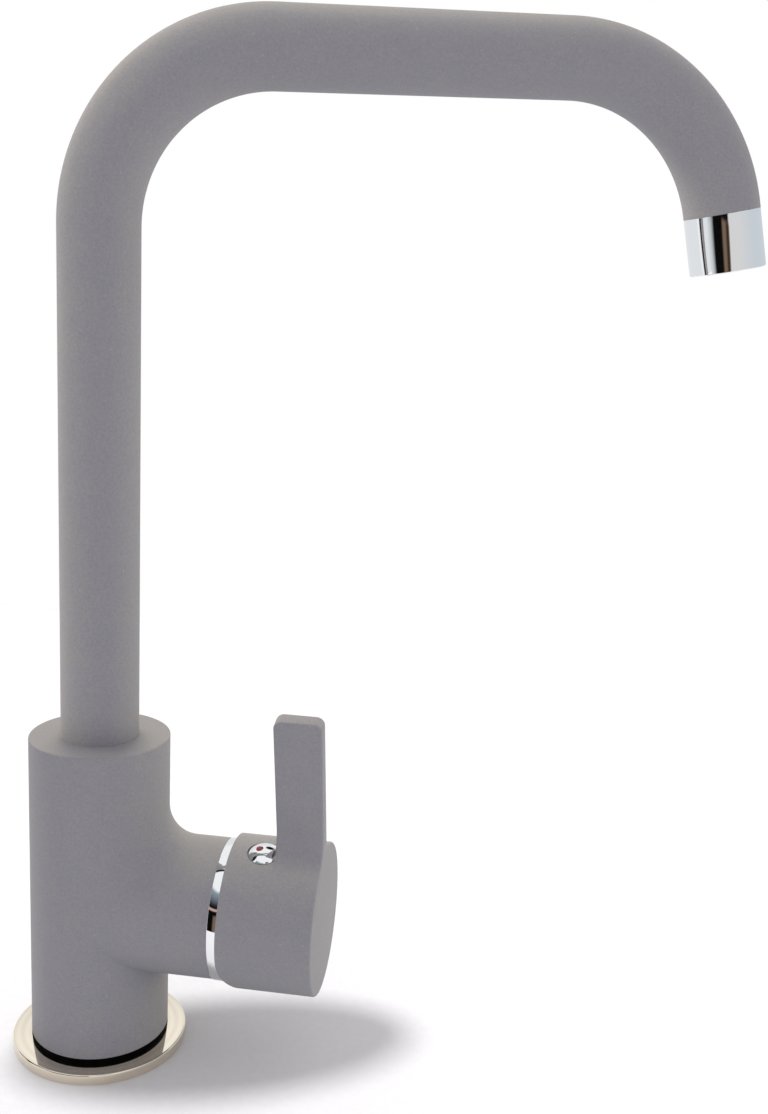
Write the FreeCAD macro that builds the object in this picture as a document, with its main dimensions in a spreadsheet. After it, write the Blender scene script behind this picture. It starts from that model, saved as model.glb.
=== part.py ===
import FreeCAD, Part
import math
import os
import re
import Sketcher
from FreeCAD import Placement, Rotation, Vector

# Single-lever kitchen mixer with a tall square-arched swivel spout, in millimetres.
# The origin is the centre of the base ring's underside, on the deck. +Z is up, and the
# lever branch points along +X. The spout and the lever stand as they do at rest: the
# spout turned a little past the branch, the lever rolled a little towards -Y.

# Driving dimensions: a cell's alias, its value and what it measures.
SIZES = [
    ("ring_radius", 31.8, "base ring outside"),
    ("ring_height", 3.9, "base ring thickness"),
    ("ring_edge", 0.5, "base ring top edge round"),
    ("gasket_inner", 20.0, "deck gasket inside radius"),
    ("gasket_outer", 29.4, "deck gasket outside radius"),
    ("gasket_height", 1.5, "deck gasket thickness"),
    ("seal_height", 1.9, "black ring between base ring and body"),
    ("spigot_radius", 17.0, "foot spigot that centres the base ring"),
    ("spigot_lift", 1.5, "foot spigot above the deck"),
    ("body_radius", 25.0, "upright body"),
    ("body_top", 120.0, "flat top of the upright body"),
    ("body_edge", 0.6, "round on the body's open edges"),
    ("branch_radius", 25.0, "lever branch"),
    ("branch_past", 2.5, "branch end beyond the rocking axis"),
    ("branch_blend", 12.0, "fillet in the upper crotch of the branch"),
    ("lever_height", 57.5, "lever axis above the deck"),
    ("chamber_radius", 18.0, "cartridge chamber bore"),
    ("cartridge_depth", 35.0, "chamber floor behind the rocking axis"),
    ("outlet_rise", 8.0, "mixed water port above the lever axis"),
    ("outlet_radius", 4.0, "mixed water port"),
    ("riser_radius", 5.0, "waterway from the chamber up to the spout"),
    ("inlet_drop", 4.5, "hot and cold ports below the lever axis"),
    ("inlet_side", 8.0, "hot and cold ports off the middle plane"),
    ("inlet_radius", 3.4, "hot and cold ports"),
    ("waterway_radius", 3.0, "hot and cold drillings up the foot"),
    ("inlet_wall", 7.0, "inlet drillings' middle behind the chamber floor"),
    ("inlet_thread", 4.5, "hose thread in the foot, M10 x 1 core radius"),
    ("inlet_depth", 14.0, "hose thread depth"),
    ("stud_thread", 3.4, "fixing stud thread in the foot, M8 core radius"),
    ("stud_depth", 16.0, "fixing stud thread depth"),
    ("stud_offset", 11.5, "fixing stud behind the upright axis"),
    ("run_gap", 0.05, "radial clearance of a running fit"),
    ("free_gap", 0.4, "clearance between pieces that pass each other"),
    ("overcut", 1.0, "how far a cutter runs past what it cuts"),
    ("seat_gap", 0.2, "axial play"),
    ("tube_radius", 13.8, "spout tube outside"),
    ("tube_wall", 1.5, "spout tube wall"),
    ("turn_angle", 20.1, "spout direction at rest, degrees from the branch"),
    ("first_bend_height", 297.4, "where the riser starts to bend"),
    ("first_bend_radius", 60.6, "first bend, at the tube's middle"),
    ("rise_angle", 2.9, "slope of the upper run, degrees"),
    ("run_length", 103.1, "straight length of the upper run"),
    ("second_bend_radius", 61.2, "second bend, at the tube's middle"),
    ("lean_angle", 12.7, "outlet's lean forward of straight down, degrees"),
    ("outlet_straight", 1.0, "straight end of the tube at the outlet"),
    ("spout_depth", 36.0, "spout bore below the body's top"),
    ("ferrule_length", 28.0, "brass tail under the tube"),
    ("ferrule_spigot", 12.0, "length of the tail's spigot in the tube"),
    ("ferrule_bore", 8.0, "waterway in the tail"),
    ("glide_depth", 1.4, "glide ring groove depth"),
    ("glide_height", 4.6, "glide ring groove width"),
    ("glide_split", 2.0, "gap in a glide ring"),
    ("lock_depth", 2.2, "lock groove depth"),
    ("lock_width", 4.0, "lock groove width"),
    ("tail_land", 1.5, "wall between two grooves of the tail"),
    ("spout_seal_wire", 0.95, "spout O-ring section radius"),
    ("lock_screw_radius", 2.5, "spout lock screw"),
    ("lock_screw_sink", 1.0, "lock screw below the body's surface"),
    ("lock_tip_radius", 1.5, "dog point of the lock screw"),
    ("hex_key", 1.25, "hexagon socket of a grub screw, corner radius"),
    ("key_depth", 2.0, "hexagon socket depth"),
    ("bush_depth", 6.0, "outlet bush inside the tube"),
    ("bush_fit", 0.3, "brazed gap round the outlet bush, which clears the tube's bend"),
    ("bush_reach", 7.0, "outlet bush thread past the tube"),
    ("bush_bore", 8.8, "outlet bush bore"),
    ("sleeve_length", 20.8, "chrome aerator sleeve"),
    ("sleeve_wall", 2.3, "aerator sleeve wall"),
    ("sleeve_lip", 2.0, "inward lip at the water outlet, along the sleeve"),
    ("sleeve_mouth", 9.8, "water outlet radius"),
    ("sleeve_edge", 0.4, "round on the sleeve's outer edge"),
    ("washer_height", 1.5, "aerator washer"),
    ("insert_rim", 2.0, "aerator insert rim height"),
    ("insert_wall", 1.4, "aerator insert wall"),
    ("insert_step", 0.7, "rim beyond the insert's barrel"),
    ("jet_radius", 0.8, "jet in the insert's plate"),
    ("jet_circle", 6.0, "circle of jets"),
    ("jet_count", 12, "jets"),
    ("screen_height", 2.8, "honeycomb screen thickness"),
    ("cell_flat", 2.4, "honeycomb cell across flats"),
    ("cell_pitch", 2.8, "honeycomb cell spacing"),
    ("base_height", 5.8, "cartridge base"),
    ("port_seal_wire", 0.9, "port seal section radius"),
    ("port_seal_margin", 1.1, "port seal's middle beyond its port"),
    ("fixed_disc_height", 3.5, "fixed ceramic disc"),
    ("fixed_disc_radius", 14.8, "fixed ceramic disc"),
    ("moving_disc_height", 4.0, "moving ceramic disc"),
    ("moving_disc_radius", 12.0, "moving ceramic disc"),
    ("mixing_radius", 6.8, "mixing recess in the moving disc"),
    ("mixing_depth", 2.2, "mixing recess depth"),
    ("film_gap", 0.02, "water film between the discs"),
    ("carrier_radius", 11.6, "carrier on the moving disc"),
    ("carrier_height", 12.3, "carrier on the moving disc"),
    ("mouth_relief", 1.3, "wider mouth of the ball socket, for the tilted stem"),
    ("guide_width", 1.9, "guide tongue thickness"),
    ("guide_depth", 2.8, "guide tongue height"),
    ("guide_side", 8.0, "guide tongue off the middle"),
    ("guide_length", 12.0, "guide tongue length"),
    ("housing_wall", 2.85, "cartridge housing wall"),
    ("housing_lid", 2.0, "cartridge housing shoulder"),
    ("neck_length", 6.5, "housing neck"),
    ("neck_wall", 2.6, "housing neck wall"),
    ("flange_height", 3.1, "swivel head flange"),
    ("turret_radius", 9.95, "swivel head turret"),
    ("turret_top", 1.0, "turret past the housing neck"),
    ("pivot_reach", 45.0, "rocking axis from the upright axis"),
    ("pin_radius", 2.0, "rocking pin"),
    ("eye_radius", 4.5, "stem's eye"),
    ("eye_width", 7.2, "stem's eye"),
    ("stem_radius", 3.3, "stem shank above the eye"),
    ("stem_tail", 2.4, "stem shank below the eye"),
    ("ball_radius", 3.0, "ball at the stem's tail"),
    ("ball_arm", 12.0, "ball from the rocking axis"),
    ("lift_angle", 24.0, "lever lift, closed to full flow, degrees"),
    ("square_start", 12.0, "stem square from the rocking axis"),
    ("square_length", 18.5, "stem square"),
    ("square_width", 8.0, "stem square across flats"),
    ("nut_bore", 12.95, "clamp nut bore"),
    ("nut_height", 3.5, "clamp nut hexagon height"),
    ("nut_corner", 20.8, "clamp nut hexagon corner radius"),
    ("collar_radius", 25.3, "chrome collar band"),
    ("collar_flange", 1.5, "collar flange under the clamp nut"),
    ("collar_wall", 1.5, "collar wall"),
    ("dome_radius", 26.0, "collar dome about the rocking axis"),
    ("dome_opening", 50.0, "dome opening, degrees from the lever axis"),
    ("roll_angle", 14.0, "lever at rest, degrees towards -Y"),
    ("cap_radius", 27.1, "lever cap"),
    ("cap_rear", 6.0, "lever cap's rear edge beyond the rocking axis"),
    ("cap_length", 33.6, "lever cap, rear edge to end face"),
    ("cap_mouth", 25.8, "cavity at the cap's rear edge"),
    ("cap_mouth_depth", 3.6, "depth of the wide mouth"),
    ("cap_cavity", 24.6, "cavity past the mouth"),
    ("cap_floor", 4.0, "wall behind the end face"),
    ("cap_edge", 0.8, "round on the cap's end edge"),
    ("cap_clearance", 2.9, "rocked rear edge from the rocking axis"),
    ("rocker_round", 30.0, "round where the rear edge is cut back"),
    ("boss_radius", 8.5, "stem boss in the cap"),
    ("boss_gap", 14.5, "stem boss beyond the rocking axis"),
    ("paddle_width", 16.9, "paddle, along the lever axis"),
    ("paddle_height", 82.3, "paddle's top from the lever axis"),
    ("paddle_front", 0.1, "paddle's front face off the lever's middle plane"),
    ("paddle_thickness", 6.2, "paddle"),
    ("paddle_corner", 3.0, "paddle's top corners"),
    ("front_blend", 13.0, "blend from the paddle's front into the cap"),
    ("back_blend", 2.5, "blend from the paddle's back into the cap"),
    ("button_reach", 18.0, "index button beyond the rocking axis"),
    ("button_radius", 5.75, "index button"),
    ("button_seat", 26.2, "button's seat from the lever axis"),
    ("button_edge", 0.5, "button's rim height"),
    ("button_dome", 9.0, "button's dome radius"),
    ("key_hole", 2.6, "hole for the hexagon key"),
    ("button_plug", 1.3, "button's plug length"),
    ("dot_radius", 1.3, "index dot"),
    ("dot_offset", 1.5, "index dot off the button's middle"),
    ("dot_depth", 1.0, "index dot inlay"),
    ("grip_screw_radius", 2.45, "set screw that holds the lever on its stem"),
    ("grip_screw_length", 4.3, "set screw"),
]

FUNCTION_NAMES = {"sin", "cos", "tan", "sqrt"}

# Places that follow from the driving dimensions, so that neighbours keep together.
FOLLOWING = {
    "branch_length": "(pivot_reach + branch_past)",
    "chamber_floor": "(pivot_reach - cartridge_depth)",
    "inlet_offset": "(chamber_floor - inlet_wall)",
    "spout_seat": "(body_top - spout_depth)",
    "cap_start": "(pivot_reach + cap_rear)",
    "cap_end": "(cap_start + cap_length)",
    "boss_start": "(pivot_reach + boss_gap)",
    "paddle_start": "(cap_end - paddle_width)",
    "button_place": "(pivot_reach + button_reach)",
}

doc = FreeCAD.newDocument("KitchenMixer")
sizes = doc.addObject("Spreadsheet::Sheet", "Sizes")
for row, (alias, value, meaning) in enumerate(SIZES, 1):
    sizes.set(f"A{row}", meaning)
    sizes.set(f"B{row}", str(value))
    sizes.setAlias(f"B{row}", alias)
doc.recompute()


def linked(text):
    """Write an expression of aliases in the form that a property takes."""
    def link(match):
        word = match.group(0)
        if word in FOLLOWING:
            return linked(FOLLOWING[word])
        return word if word in FUNCTION_NAMES else "Sizes." + word
    return re.sub(r"[a-z][a-z_]*", link, str(text))


def size(text):
    """Value of an expression of aliases."""
    return float(sizes.evalExpression(linked(text)))


# Places along the lever branch, measured from the upright axis, and up the spout's tail.
BASE_START = "(chamber_floor + seat_gap)"
BASE_END = f"({BASE_START} + base_height)"
FIXED_END = f"({BASE_END} + fixed_disc_height)"
MOVING_START = f"({FIXED_END} + film_gap)"
MOVING_END = f"({MOVING_START} + moving_disc_height)"
CARRIER_END = f"({MOVING_END} + carrier_height)"
FLANGE_START = f"({CARRIER_END} + free_gap)"
FLANGE_END = f"({FLANGE_START} + flange_height)"
LID_START = f"({FLANGE_END} + seat_gap)"
SHOULDER = f"({LID_START} + housing_lid)"
NECK_END = f"({SHOULDER} + neck_length)"
TURRET_END = f"({NECK_END} + turret_top)"
COLLAR_SEAT = "(branch_length + collar_flange)"
SQUARE_START = "(pivot_reach + square_start)"
STEM_END = f"({SQUARE_START} + square_length)"
HOUSING_RADIUS = "(chamber_radius - run_gap)"
HOUSING_BORE = f"({HOUSING_RADIUS} - housing_wall)"
NECK_BORE = "(turret_radius + run_gap)"
DISC_TRAVEL = "(ball_arm * sin(lift_angle))"

BODY_FOOT = "(ring_height + seal_height)"
SPOUT_BORE = "(tube_radius + free_gap)"
TAIL_BOTTOM = "(spout_seat + free_gap)"
TUBE_START = f"({TAIL_BOTTOM} + ferrule_length)"
TUBE_BORE = "(tube_radius - tube_wall)"
GLIDE_FLOOR = "(tube_radius - glide_depth)"
LOWER_GLIDE = f"({TAIL_BOTTOM} + tail_land)"
LOCK_START = f"({LOWER_GLIDE} + glide_height + tail_land)"
LOCK_MIDDLE = f"({LOCK_START} + lock_width / 2)"
SEAL_RADIUS = f"({SPOUT_BORE} - run_gap - spout_seal_wire)"
SEAL_FLOOR = f"({SEAL_RADIUS} - spout_seal_wire - run_gap)"
SEAL_GROOVE = "(2 * spout_seal_wire + seat_gap)"
LOWER_SEAL = f"({LOCK_START} + lock_width + tail_land)"
UPPER_SEAL = f"({LOWER_SEAL} + {SEAL_GROOVE} + tail_land)"
UPPER_GLIDE = f"({UPPER_SEAL} + {SEAL_GROOVE} + tail_land)"

THREAD_RADIUS = "(tube_radius - sleeve_wall)"
INSERT_START = "(bush_reach + washer_height)"
SCREEN_START = "(sleeve_length - sleeve_lip - screen_height)"


def new_body(label):
    """Start a sub-part that is built up from features."""
    body = doc.addObject("PartDesign::Body", label)
    body.Label = label
    return body


def plane_of(body, role):
    """One of the body's own origin planes."""
    return next(item for item in body.Origin.OriginFeatures if item.Role == role)


def new_sketch(body, name, role, offset="0"):
    """Empty sketch on an origin plane, moved along the plane's normal by an expression."""
    sketch = body.newObject("Sketcher::SketchObject", name)
    sketch.AttachmentSupport = [(plane_of(body, role), "")]
    sketch.MapMode = "FlatFace"
    sketch.setExpression("AttachmentOffset.Base.z", linked(offset))
    return sketch


def pin_point(sketch, geometry, position, across, upward):
    """Tie a point of the sketch to two coordinates from the sheet."""
    for kind, text in (("DistanceX", across), ("DistanceY", upward)):
        index = sketch.addConstraint(Sketcher.Constraint(kind, -1, 1, geometry, position, size(text)))
        sketch.setExpression(f"Constraints[{index}]", linked(text))


def arc_between(start, end, radius, side):
    """Arc whose centre lies to the left or right of the way from start to end."""
    chord = end - start
    half = chord.Length / 2
    reach = math.sqrt(max(radius ** 2 - half ** 2, 0.0))
    left = Vector(-chord.y, chord.x, 0).normalize()
    centre = (start + end) / 2 + left * (reach if side == "left" else -reach)
    first, last = (start, end) if side == "left" else (end, start)
    begin = math.atan2(first.y - centre.y, first.x - centre.x)
    finish = math.atan2(last.y - centre.y, last.x - centre.x)
    if finish < begin:
        finish += 2 * math.pi
    circle = Part.Circle(centre, Vector(0, 0, 1), radius)
    return Part.ArcOfCircle(circle, begin, finish)


def draw_loop(sketch, corners):
    """Closed outline. A corner is (u, v), or (u, v, radius, side) where an arc leaves it."""
    points = [Vector(size(corner[0]), size(corner[1]), 0) for corner in corners]
    count = len(corners)
    starts = []
    ends = []
    geometries = []
    for index, corner in enumerate(corners):
        start = points[index]
        end = points[(index + 1) % count]
        if len(corner) == 2:
            geometries.append(sketch.addGeometry(Part.LineSegment(start, end)))
            starts.append(1)
            ends.append(2)
            continue
        geometries.append(sketch.addGeometry(arc_between(start, end, size(corner[2]), corner[3])))
        starts.append(1 if corner[3] == "left" else 2)
        ends.append(2 if corner[3] == "left" else 1)
    for index, corner in enumerate(corners):
        following = (index + 1) % count
        joint = (geometries[index], ends[index], geometries[following], starts[following])
        sketch.addConstraint(Sketcher.Constraint("Coincident", *joint))
        pin_point(sketch, geometries[index], starts[index], corner[0], corner[1])
        if len(corner) == 4:
            radius = sketch.addConstraint(Sketcher.Constraint("Radius", geometries[index], size(corner[2])))
            sketch.setExpression(f"Constraints[{radius}]", linked(corner[2]))


def draw_circle(sketch, radius, across="0", upward="0"):
    """Circle whose middle and radius come from the sheet."""
    centre = Vector(size(across), size(upward), 0)
    circle = sketch.addGeometry(Part.Circle(centre, Vector(0, 0, 1), size(radius)))
    pin_point(sketch, circle, 3, across, upward)
    index = sketch.addConstraint(Sketcher.Constraint("Radius", circle, size(radius)))
    sketch.setExpression(f"Constraints[{index}]", linked(radius))


def turn(body, name, corners, cut=False):
    """Revolve an outline of (radius, height) about the body's own Z, to add or to cut."""
    sketch = new_sketch(body, name + "_profile", "XZ_Plane")
    draw_loop(sketch, corners)
    kind = "PartDesign::Groove" if cut else "PartDesign::Revolution"
    before = body.Tip.Shape.Volume if cut else 0.0
    feature = body.newObject(kind, name)
    feature.Profile = sketch
    feature.ReferenceAxis = (sketch, ["V_Axis"])
    feature.Angle = 360
    doc.recompute()
    if cut and not feature.Shape.Volume < before:
        raise RuntimeError(f"{body.Label}: {name} cut nothing")
    return feature


def push(body, name, sketch, length, cut=False, backwards=False, both_ways=False):
    """Pad or pocket a sketch by a length from the sheet, and see that it changed the body."""
    before = body.Tip.Shape.Volume if body.Tip else 0.0
    feature = body.newObject("PartDesign::Pocket" if cut else "PartDesign::Pad", name)
    feature.Profile = sketch
    feature.SideType = "Symmetric" if both_ways else "One side"
    feature.Reversed = backwards
    feature.setExpression("Length", linked(length))
    doc.recompute()
    after = feature.Shape.Volume
    if (cut and not after < before) or (not cut and not after > before):
        raise RuntimeError(f"{body.Label}: {name} changed nothing")
    return feature


def disc(body, name, role, offset, radius, length, across="0", upward="0", **options):
    """Pad or pocket a circle."""
    sketch = new_sketch(body, name + "_profile", role, offset)
    draw_circle(sketch, radius, across, upward)
    return push(body, name, sketch, length, **options)


def block(body, name, role, offset, corners, length, **options):
    """Pad or pocket a closed outline."""
    sketch = new_sketch(body, name + "_profile", role, offset)
    draw_loop(sketch, corners)
    return push(body, name, sketch, length, **options)


def soften(body, name, radius, chosen):
    """Fillet the edges of the body's last feature that a test picks out."""
    base = body.Tip
    edges = [f"Edge{index}" for index, edge in enumerate(base.Shape.Edges, 1) if chosen(edge)]
    if not edges:
        raise RuntimeError(f"{body.Label}: {name} found no edge")
    feature = body.newObject("PartDesign::Fillet", name)
    feature.Base = (base, edges)
    feature.setExpression("Radius", linked(radius))
    doc.recompute()
    return feature


def rectangle(low_u, high_u, low_v, high_v):
    """Corners of a rectangle given by expressions."""
    return [(low_u, low_v), (high_u, low_v), (high_u, high_v), (low_u, high_v)]


def hexagon(corner_radius, across="0", upward="0"):
    """Corners of a hexagon about a point."""
    corners = []
    for step in range(6):
        angle = 60 * step
        u = f"{across} + {corner_radius} * cos({angle})"
        v = f"{upward} + {corner_radius} * sin({angle})"
        corners.append((u, v))
    return corners


def near(value, text, slack=0.01):
    """Whether a number equals an expression of aliases."""
    return abs(value - size(text)) < slack


def flat_at(edge, axis, text):
    """Whether an edge lies whole in a plane across an axis."""
    box = edge.BoundBox
    low, high = getattr(box, axis + "Min"), getattr(box, axis + "Max")
    return near(low, text) and near(high, text)


# Frames: the lever's local Z runs out along the branch and its X points up the paddle.
def lever_frame(roll=0.0):
    swing = Placement(Vector(0, 0, size("lever_height")), Rotation(Vector(1, 0, 0), roll))
    return swing * Placement(Vector(), Rotation(Vector(1, 0, 1), 180))


FIXED = lever_frame()
ROLLED = lever_frame(size("roll_angle"))
SPOUT = Placement(Vector(), Rotation(Vector(0, 0, 1), size("turn_angle")))


def outlet_frame():
    """Frame at the tube's end, with Z along the water's way out."""
    rise = math.radians(size("rise_angle"))
    end = math.radians(180 - size("lean_angle"))
    along = Vector(math.cos(rise), 0, math.sin(rise))
    bend = size("first_bend_radius")
    point = Vector(bend - bend * math.sin(rise), 0, size("first_bend_height") + bend * math.cos(rise))
    point += along * size("run_length")
    second = size("second_bend_radius")
    centre = point + Vector(along.z, 0, -along.x) * second
    point = centre + Vector(-math.cos(end), 0, math.sin(end)) * second
    way = Vector(math.sin(end), 0, math.cos(end))
    point += way * size("outlet_straight")
    return SPOUT * Placement(point, Rotation(Vector(0, 1, 0), math.degrees(end)))


OUTLET = outlet_frame()
BUTTON = ROLLED * Placement(Vector(0, 0, size("button_place")), Rotation(Vector(0, 1, 0), 90))


def make_base_ring():
    body = new_body("base_ring")
    turn(body, "ring", [
        ("spigot_radius + run_gap", "0"),
        ("gasket_inner - seat_gap", "0"),
        ("gasket_inner - seat_gap", "gasket_height"),
        ("gasket_outer + seat_gap", "gasket_height"),
        ("gasket_outer + seat_gap", "0"),
        ("ring_radius", "0"),
        ("ring_radius", "ring_height"),
        ("spigot_radius + run_gap", "ring_height"),
    ])
    soften(body, "top_edge", "ring_edge", lambda edge: flat_at(edge, "Z", "ring_height")
           and near(edge.BoundBox.XMax, "ring_radius"))
    return body


def make_flat_ring(label, inner, outer, low, height):
    """Plain ring about the upright axis."""
    body = new_body(label)
    sketch = new_sketch(body, label + "_profile", "XY_Plane", low)
    draw_circle(sketch, outer)
    draw_circle(sketch, inner)
    push(body, label + "_pad", sketch, height)
    return body


def make_faucet_body():
    body = new_body("faucet_body")
    turn(body, "upright", [
        ("0", "spigot_lift"),
        ("spigot_radius", "spigot_lift"),
        ("spigot_radius", BODY_FOOT),
        ("body_radius", BODY_FOOT),
        ("body_radius", "body_top"),
        ("0", "body_top"),
    ])
    disc(body, "branch", "YZ_Plane", "0", "branch_radius", "branch_length", upward="lever_height")
    soften(body, "crotch_blend", "branch_blend", lambda edge: edge.BoundBox.ZMin > size("lever_height") - 0.1
           and edge.BoundBox.XMin > -0.1 and edge.BoundBox.XMax < size("body_radius") + 0.1
           and edge.BoundBox.YLength > 1 and edge.BoundBox.XLength > 1
           and edge.BoundBox.ZMax < size("lever_height + branch_radius") + 0.1)
    soften(body, "open_edges", "body_edge", lambda edge: flat_at(edge, "Z", "body_top")
           and edge.Length > 1)
    disc(body, "spout_bore", "XY_Plane", "body_top", SPOUT_BORE, "body_top - spout_seat", cut=True)
    disc(body, "chamber", "YZ_Plane", "branch_length", "chamber_radius", "branch_length - chamber_floor",
         upward="lever_height", cut=True)
    disc(body, "outlet_drilling", "YZ_Plane", "chamber_floor", "outlet_radius",
         "chamber_floor + riser_radius - overcut", upward="lever_height + outlet_rise", cut=True)
    disc(body, "riser_drilling", "XY_Plane", "spout_seat", "riser_radius",
         "spout_seat - lever_height - outlet_rise + outlet_radius", cut=True)
    for side, sign in (("cold", "-"), ("hot", "")):
        middle = f"{sign}inlet_side"
        disc(body, side + "_port", "YZ_Plane", "chamber_floor", "inlet_radius",
             "chamber_floor - inlet_offset + inlet_radius", across=middle,
             upward="lever_height - inlet_drop", cut=True)
        disc(body, side + "_waterway", "XY_Plane", "spigot_lift", "waterway_radius",
             "lever_height - inlet_drop - spigot_lift", across="inlet_offset", upward=middle,
             cut=True, backwards=True)
        disc(body, side + "_thread", "XY_Plane", "spigot_lift", "inlet_thread", "inlet_depth",
             across="inlet_offset", upward=middle, cut=True, backwards=True)
    disc(body, "stud_hole", "XY_Plane", "spigot_lift", "stud_thread", "stud_depth",
         across="-stud_offset", cut=True, backwards=True)
    disc(body, "lock_hole", "YZ_Plane", "-body_radius", "lock_screw_radius + run_gap",
         f"body_radius - {SPOUT_BORE} + overcut", upward=LOCK_MIDDLE, cut=True, backwards=True)
    return body


def make_spout_tube():
    body = new_body("spout_tube")
    path = new_sketch(body, "spout_path", "XZ_Plane")
    rise = math.radians(size("rise_angle"))
    end = math.radians(180 - size("lean_angle"))
    first = size("first_bend_radius")
    second = size("second_bend_radius")
    foot = Vector(0, size(TUBE_START), 0)
    bend_start = Vector(0, size("first_bend_height"), 0)
    first_centre = bend_start + Vector(first, 0, 0)
    run_start = first_centre + Vector(-math.sin(rise), math.cos(rise), 0) * first
    run_end = run_start + Vector(math.cos(rise), math.sin(rise), 0) * size("run_length")
    second_centre = run_end + Vector(math.sin(rise), -math.cos(rise), 0) * second
    bend_end = second_centre + Vector(-math.cos(end), math.sin(end), 0) * second
    tip = bend_end + Vector(math.sin(end), math.cos(end), 0) * size("outlet_straight")
    axis = Vector(0, 0, 1)
    riser = path.addGeometry(Part.LineSegment(foot, bend_start))
    turn_one = path.addGeometry(Part.ArcOfCircle(Part.Circle(first_centre, axis, first),
                                                 math.pi / 2 + rise, math.pi))
    run = path.addGeometry(Part.LineSegment(run_start, run_end))
    turn_two = path.addGeometry(Part.ArcOfCircle(Part.Circle(second_centre, axis, second),
                                                 math.pi - end, math.pi / 2 + rise))
    nose = path.addGeometry(Part.LineSegment(bend_end, tip))
    pin_point(path, riser, 1, "0", TUBE_START)
    pin_point(path, riser, 2, "0", "first_bend_height")
    path.addConstraint(Sketcher.Constraint("Tangent", riser, 2, turn_one, 2))
    path.addConstraint(Sketcher.Constraint("Tangent", turn_one, 1, run, 1))
    path.addConstraint(Sketcher.Constraint("Tangent", run, 2, turn_two, 2))
    path.addConstraint(Sketcher.Constraint("Tangent", turn_two, 1, nose, 1))
    bound = [
        (Sketcher.Constraint("Radius", turn_one, first), "first_bend_radius"),
        (Sketcher.Constraint("Angle", run, rise), "rise_angle"),
        (Sketcher.Constraint("Distance", run, size("run_length")), "run_length"),
        (Sketcher.Constraint("Radius", turn_two, second), "second_bend_radius"),
        (Sketcher.Constraint("Angle", nose, math.pi / 2 - end), "lean_angle - 90"),
        (Sketcher.Constraint("Distance", nose, size("outlet_straight")), "outlet_straight"),
    ]
    for constraint, text in bound:
        index = path.addConstraint(constraint)
        path.setExpression(f"Constraints[{index}]", linked(text))
    section = new_sketch(body, "tube_section", "XY_Plane", TUBE_START)
    draw_circle(section, "tube_radius")
    draw_circle(section, TUBE_BORE)
    doc.recompute()
    tube = body.newObject("PartDesign::AdditivePipe", "tube")
    tube.Profile = section
    tube.Spine = (path, [])
    doc.recompute()
    body.Placement = SPOUT
    return body


def make_spout_ferrule():
    body = new_body("spout_ferrule")
    corners = [("ferrule_bore", TAIL_BOTTOM), ("tube_radius", TAIL_BOTTOM)]
    grooves = [
        (LOWER_GLIDE, "glide_height", GLIDE_FLOOR),
        (LOCK_START, "lock_width", "tube_radius - lock_depth"),
        (LOWER_SEAL, SEAL_GROOVE, SEAL_FLOOR),
        (UPPER_SEAL, SEAL_GROOVE, SEAL_FLOOR),
        (UPPER_GLIDE, "glide_height", GLIDE_FLOOR),
    ]
    for low, width, floor in grooves:
        corners += [("tube_radius", low), (floor, low)]
        corners += [(floor, f"{low} + {width}"), ("tube_radius", f"{low} + {width}")]
    corners += [
        ("tube_radius", TUBE_START),
        (f"{TUBE_BORE} - run_gap", TUBE_START),
        (f"{TUBE_BORE} - run_gap", f"{TUBE_START} + ferrule_spigot"),
        ("ferrule_bore", f"{TUBE_START} + ferrule_spigot"),
    ]
    turn(body, "tail", corners)
    body.Placement = SPOUT
    return body


def make_glide_ring(label, low):
    """Split plastic ring that runs in the body's bore."""
    body = new_body(label)
    ring = new_sketch(body, label + "_profile", "XY_Plane", f"{low} + seat_gap / 2")
    draw_circle(ring, f"{SPOUT_BORE} - run_gap")
    draw_circle(ring, f"{GLIDE_FLOOR} + run_gap")
    push(body, label + "_pad", ring, "glide_height - seat_gap")
    block(body, "split", "XZ_Plane", "0",
          rectangle("-glide_split / 2", "glide_split / 2", low, f"{low} + glide_height"),
          SPOUT_BORE, cut=True)
    body.Placement = SPOUT
    return body


def make_seal_group(label, frame, rings):
    """O-rings of one set, each given by radius, section radius and middle."""
    members = []
    for index, (radius, wire, middle) in enumerate(rings, 1):
        torus = doc.addObject("Part::Torus", f"{label}_{index}")
        torus.setExpression("Radius1", linked(radius))
        torus.setExpression("Radius2", linked(wire))
        for axis, text in zip("xyz", middle):
            torus.setExpression(f"Placement.Base.{axis}", linked(text))
        members.append(torus)
    group = doc.addObject("Part::Compound", label)
    group.Label = label
    group.Links = members
    group.Placement = frame
    return group


def make_lock_screw():
    """Grub screw in the body's back, with a dog point in the tail's lock groove."""
    body = new_body("spout_lock_screw")
    turn(body, "screw", [
        ("0", "lock_screw_sink"),
        ("lock_screw_radius", "lock_screw_sink"),
        ("lock_screw_radius", f"body_radius - {SPOUT_BORE} - run_gap"),
        ("lock_tip_radius", f"body_radius - {SPOUT_BORE} - run_gap"),
        ("lock_tip_radius", "body_radius - tube_radius + lock_depth - free_gap"),
        ("0", "body_radius - tube_radius + lock_depth - free_gap"),
    ])
    block(body, "socket", "XY_Plane", "lock_screw_sink", hexagon("hex_key"), "key_depth",
          cut=True, backwards=True)
    start = Vector(-size("body_radius"), 0, size(LOCK_MIDDLE))
    body.Placement = Placement(start, Rotation(Vector(0, 1, 0), 90))
    return body


def make_outlet_bush():
    body = new_body("outlet_bush")
    turn(body, "bush", [
        ("bush_bore", "-bush_depth"),
        (f"{TUBE_BORE} - bush_fit", "-bush_depth"),
        (f"{TUBE_BORE} - bush_fit", "0"),
        (f"{THREAD_RADIUS} - run_gap", "0"),
        (f"{THREAD_RADIUS} - run_gap", "bush_reach"),
        ("bush_bore", "bush_reach"),
    ])
    body.Placement = OUTLET
    return body


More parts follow.
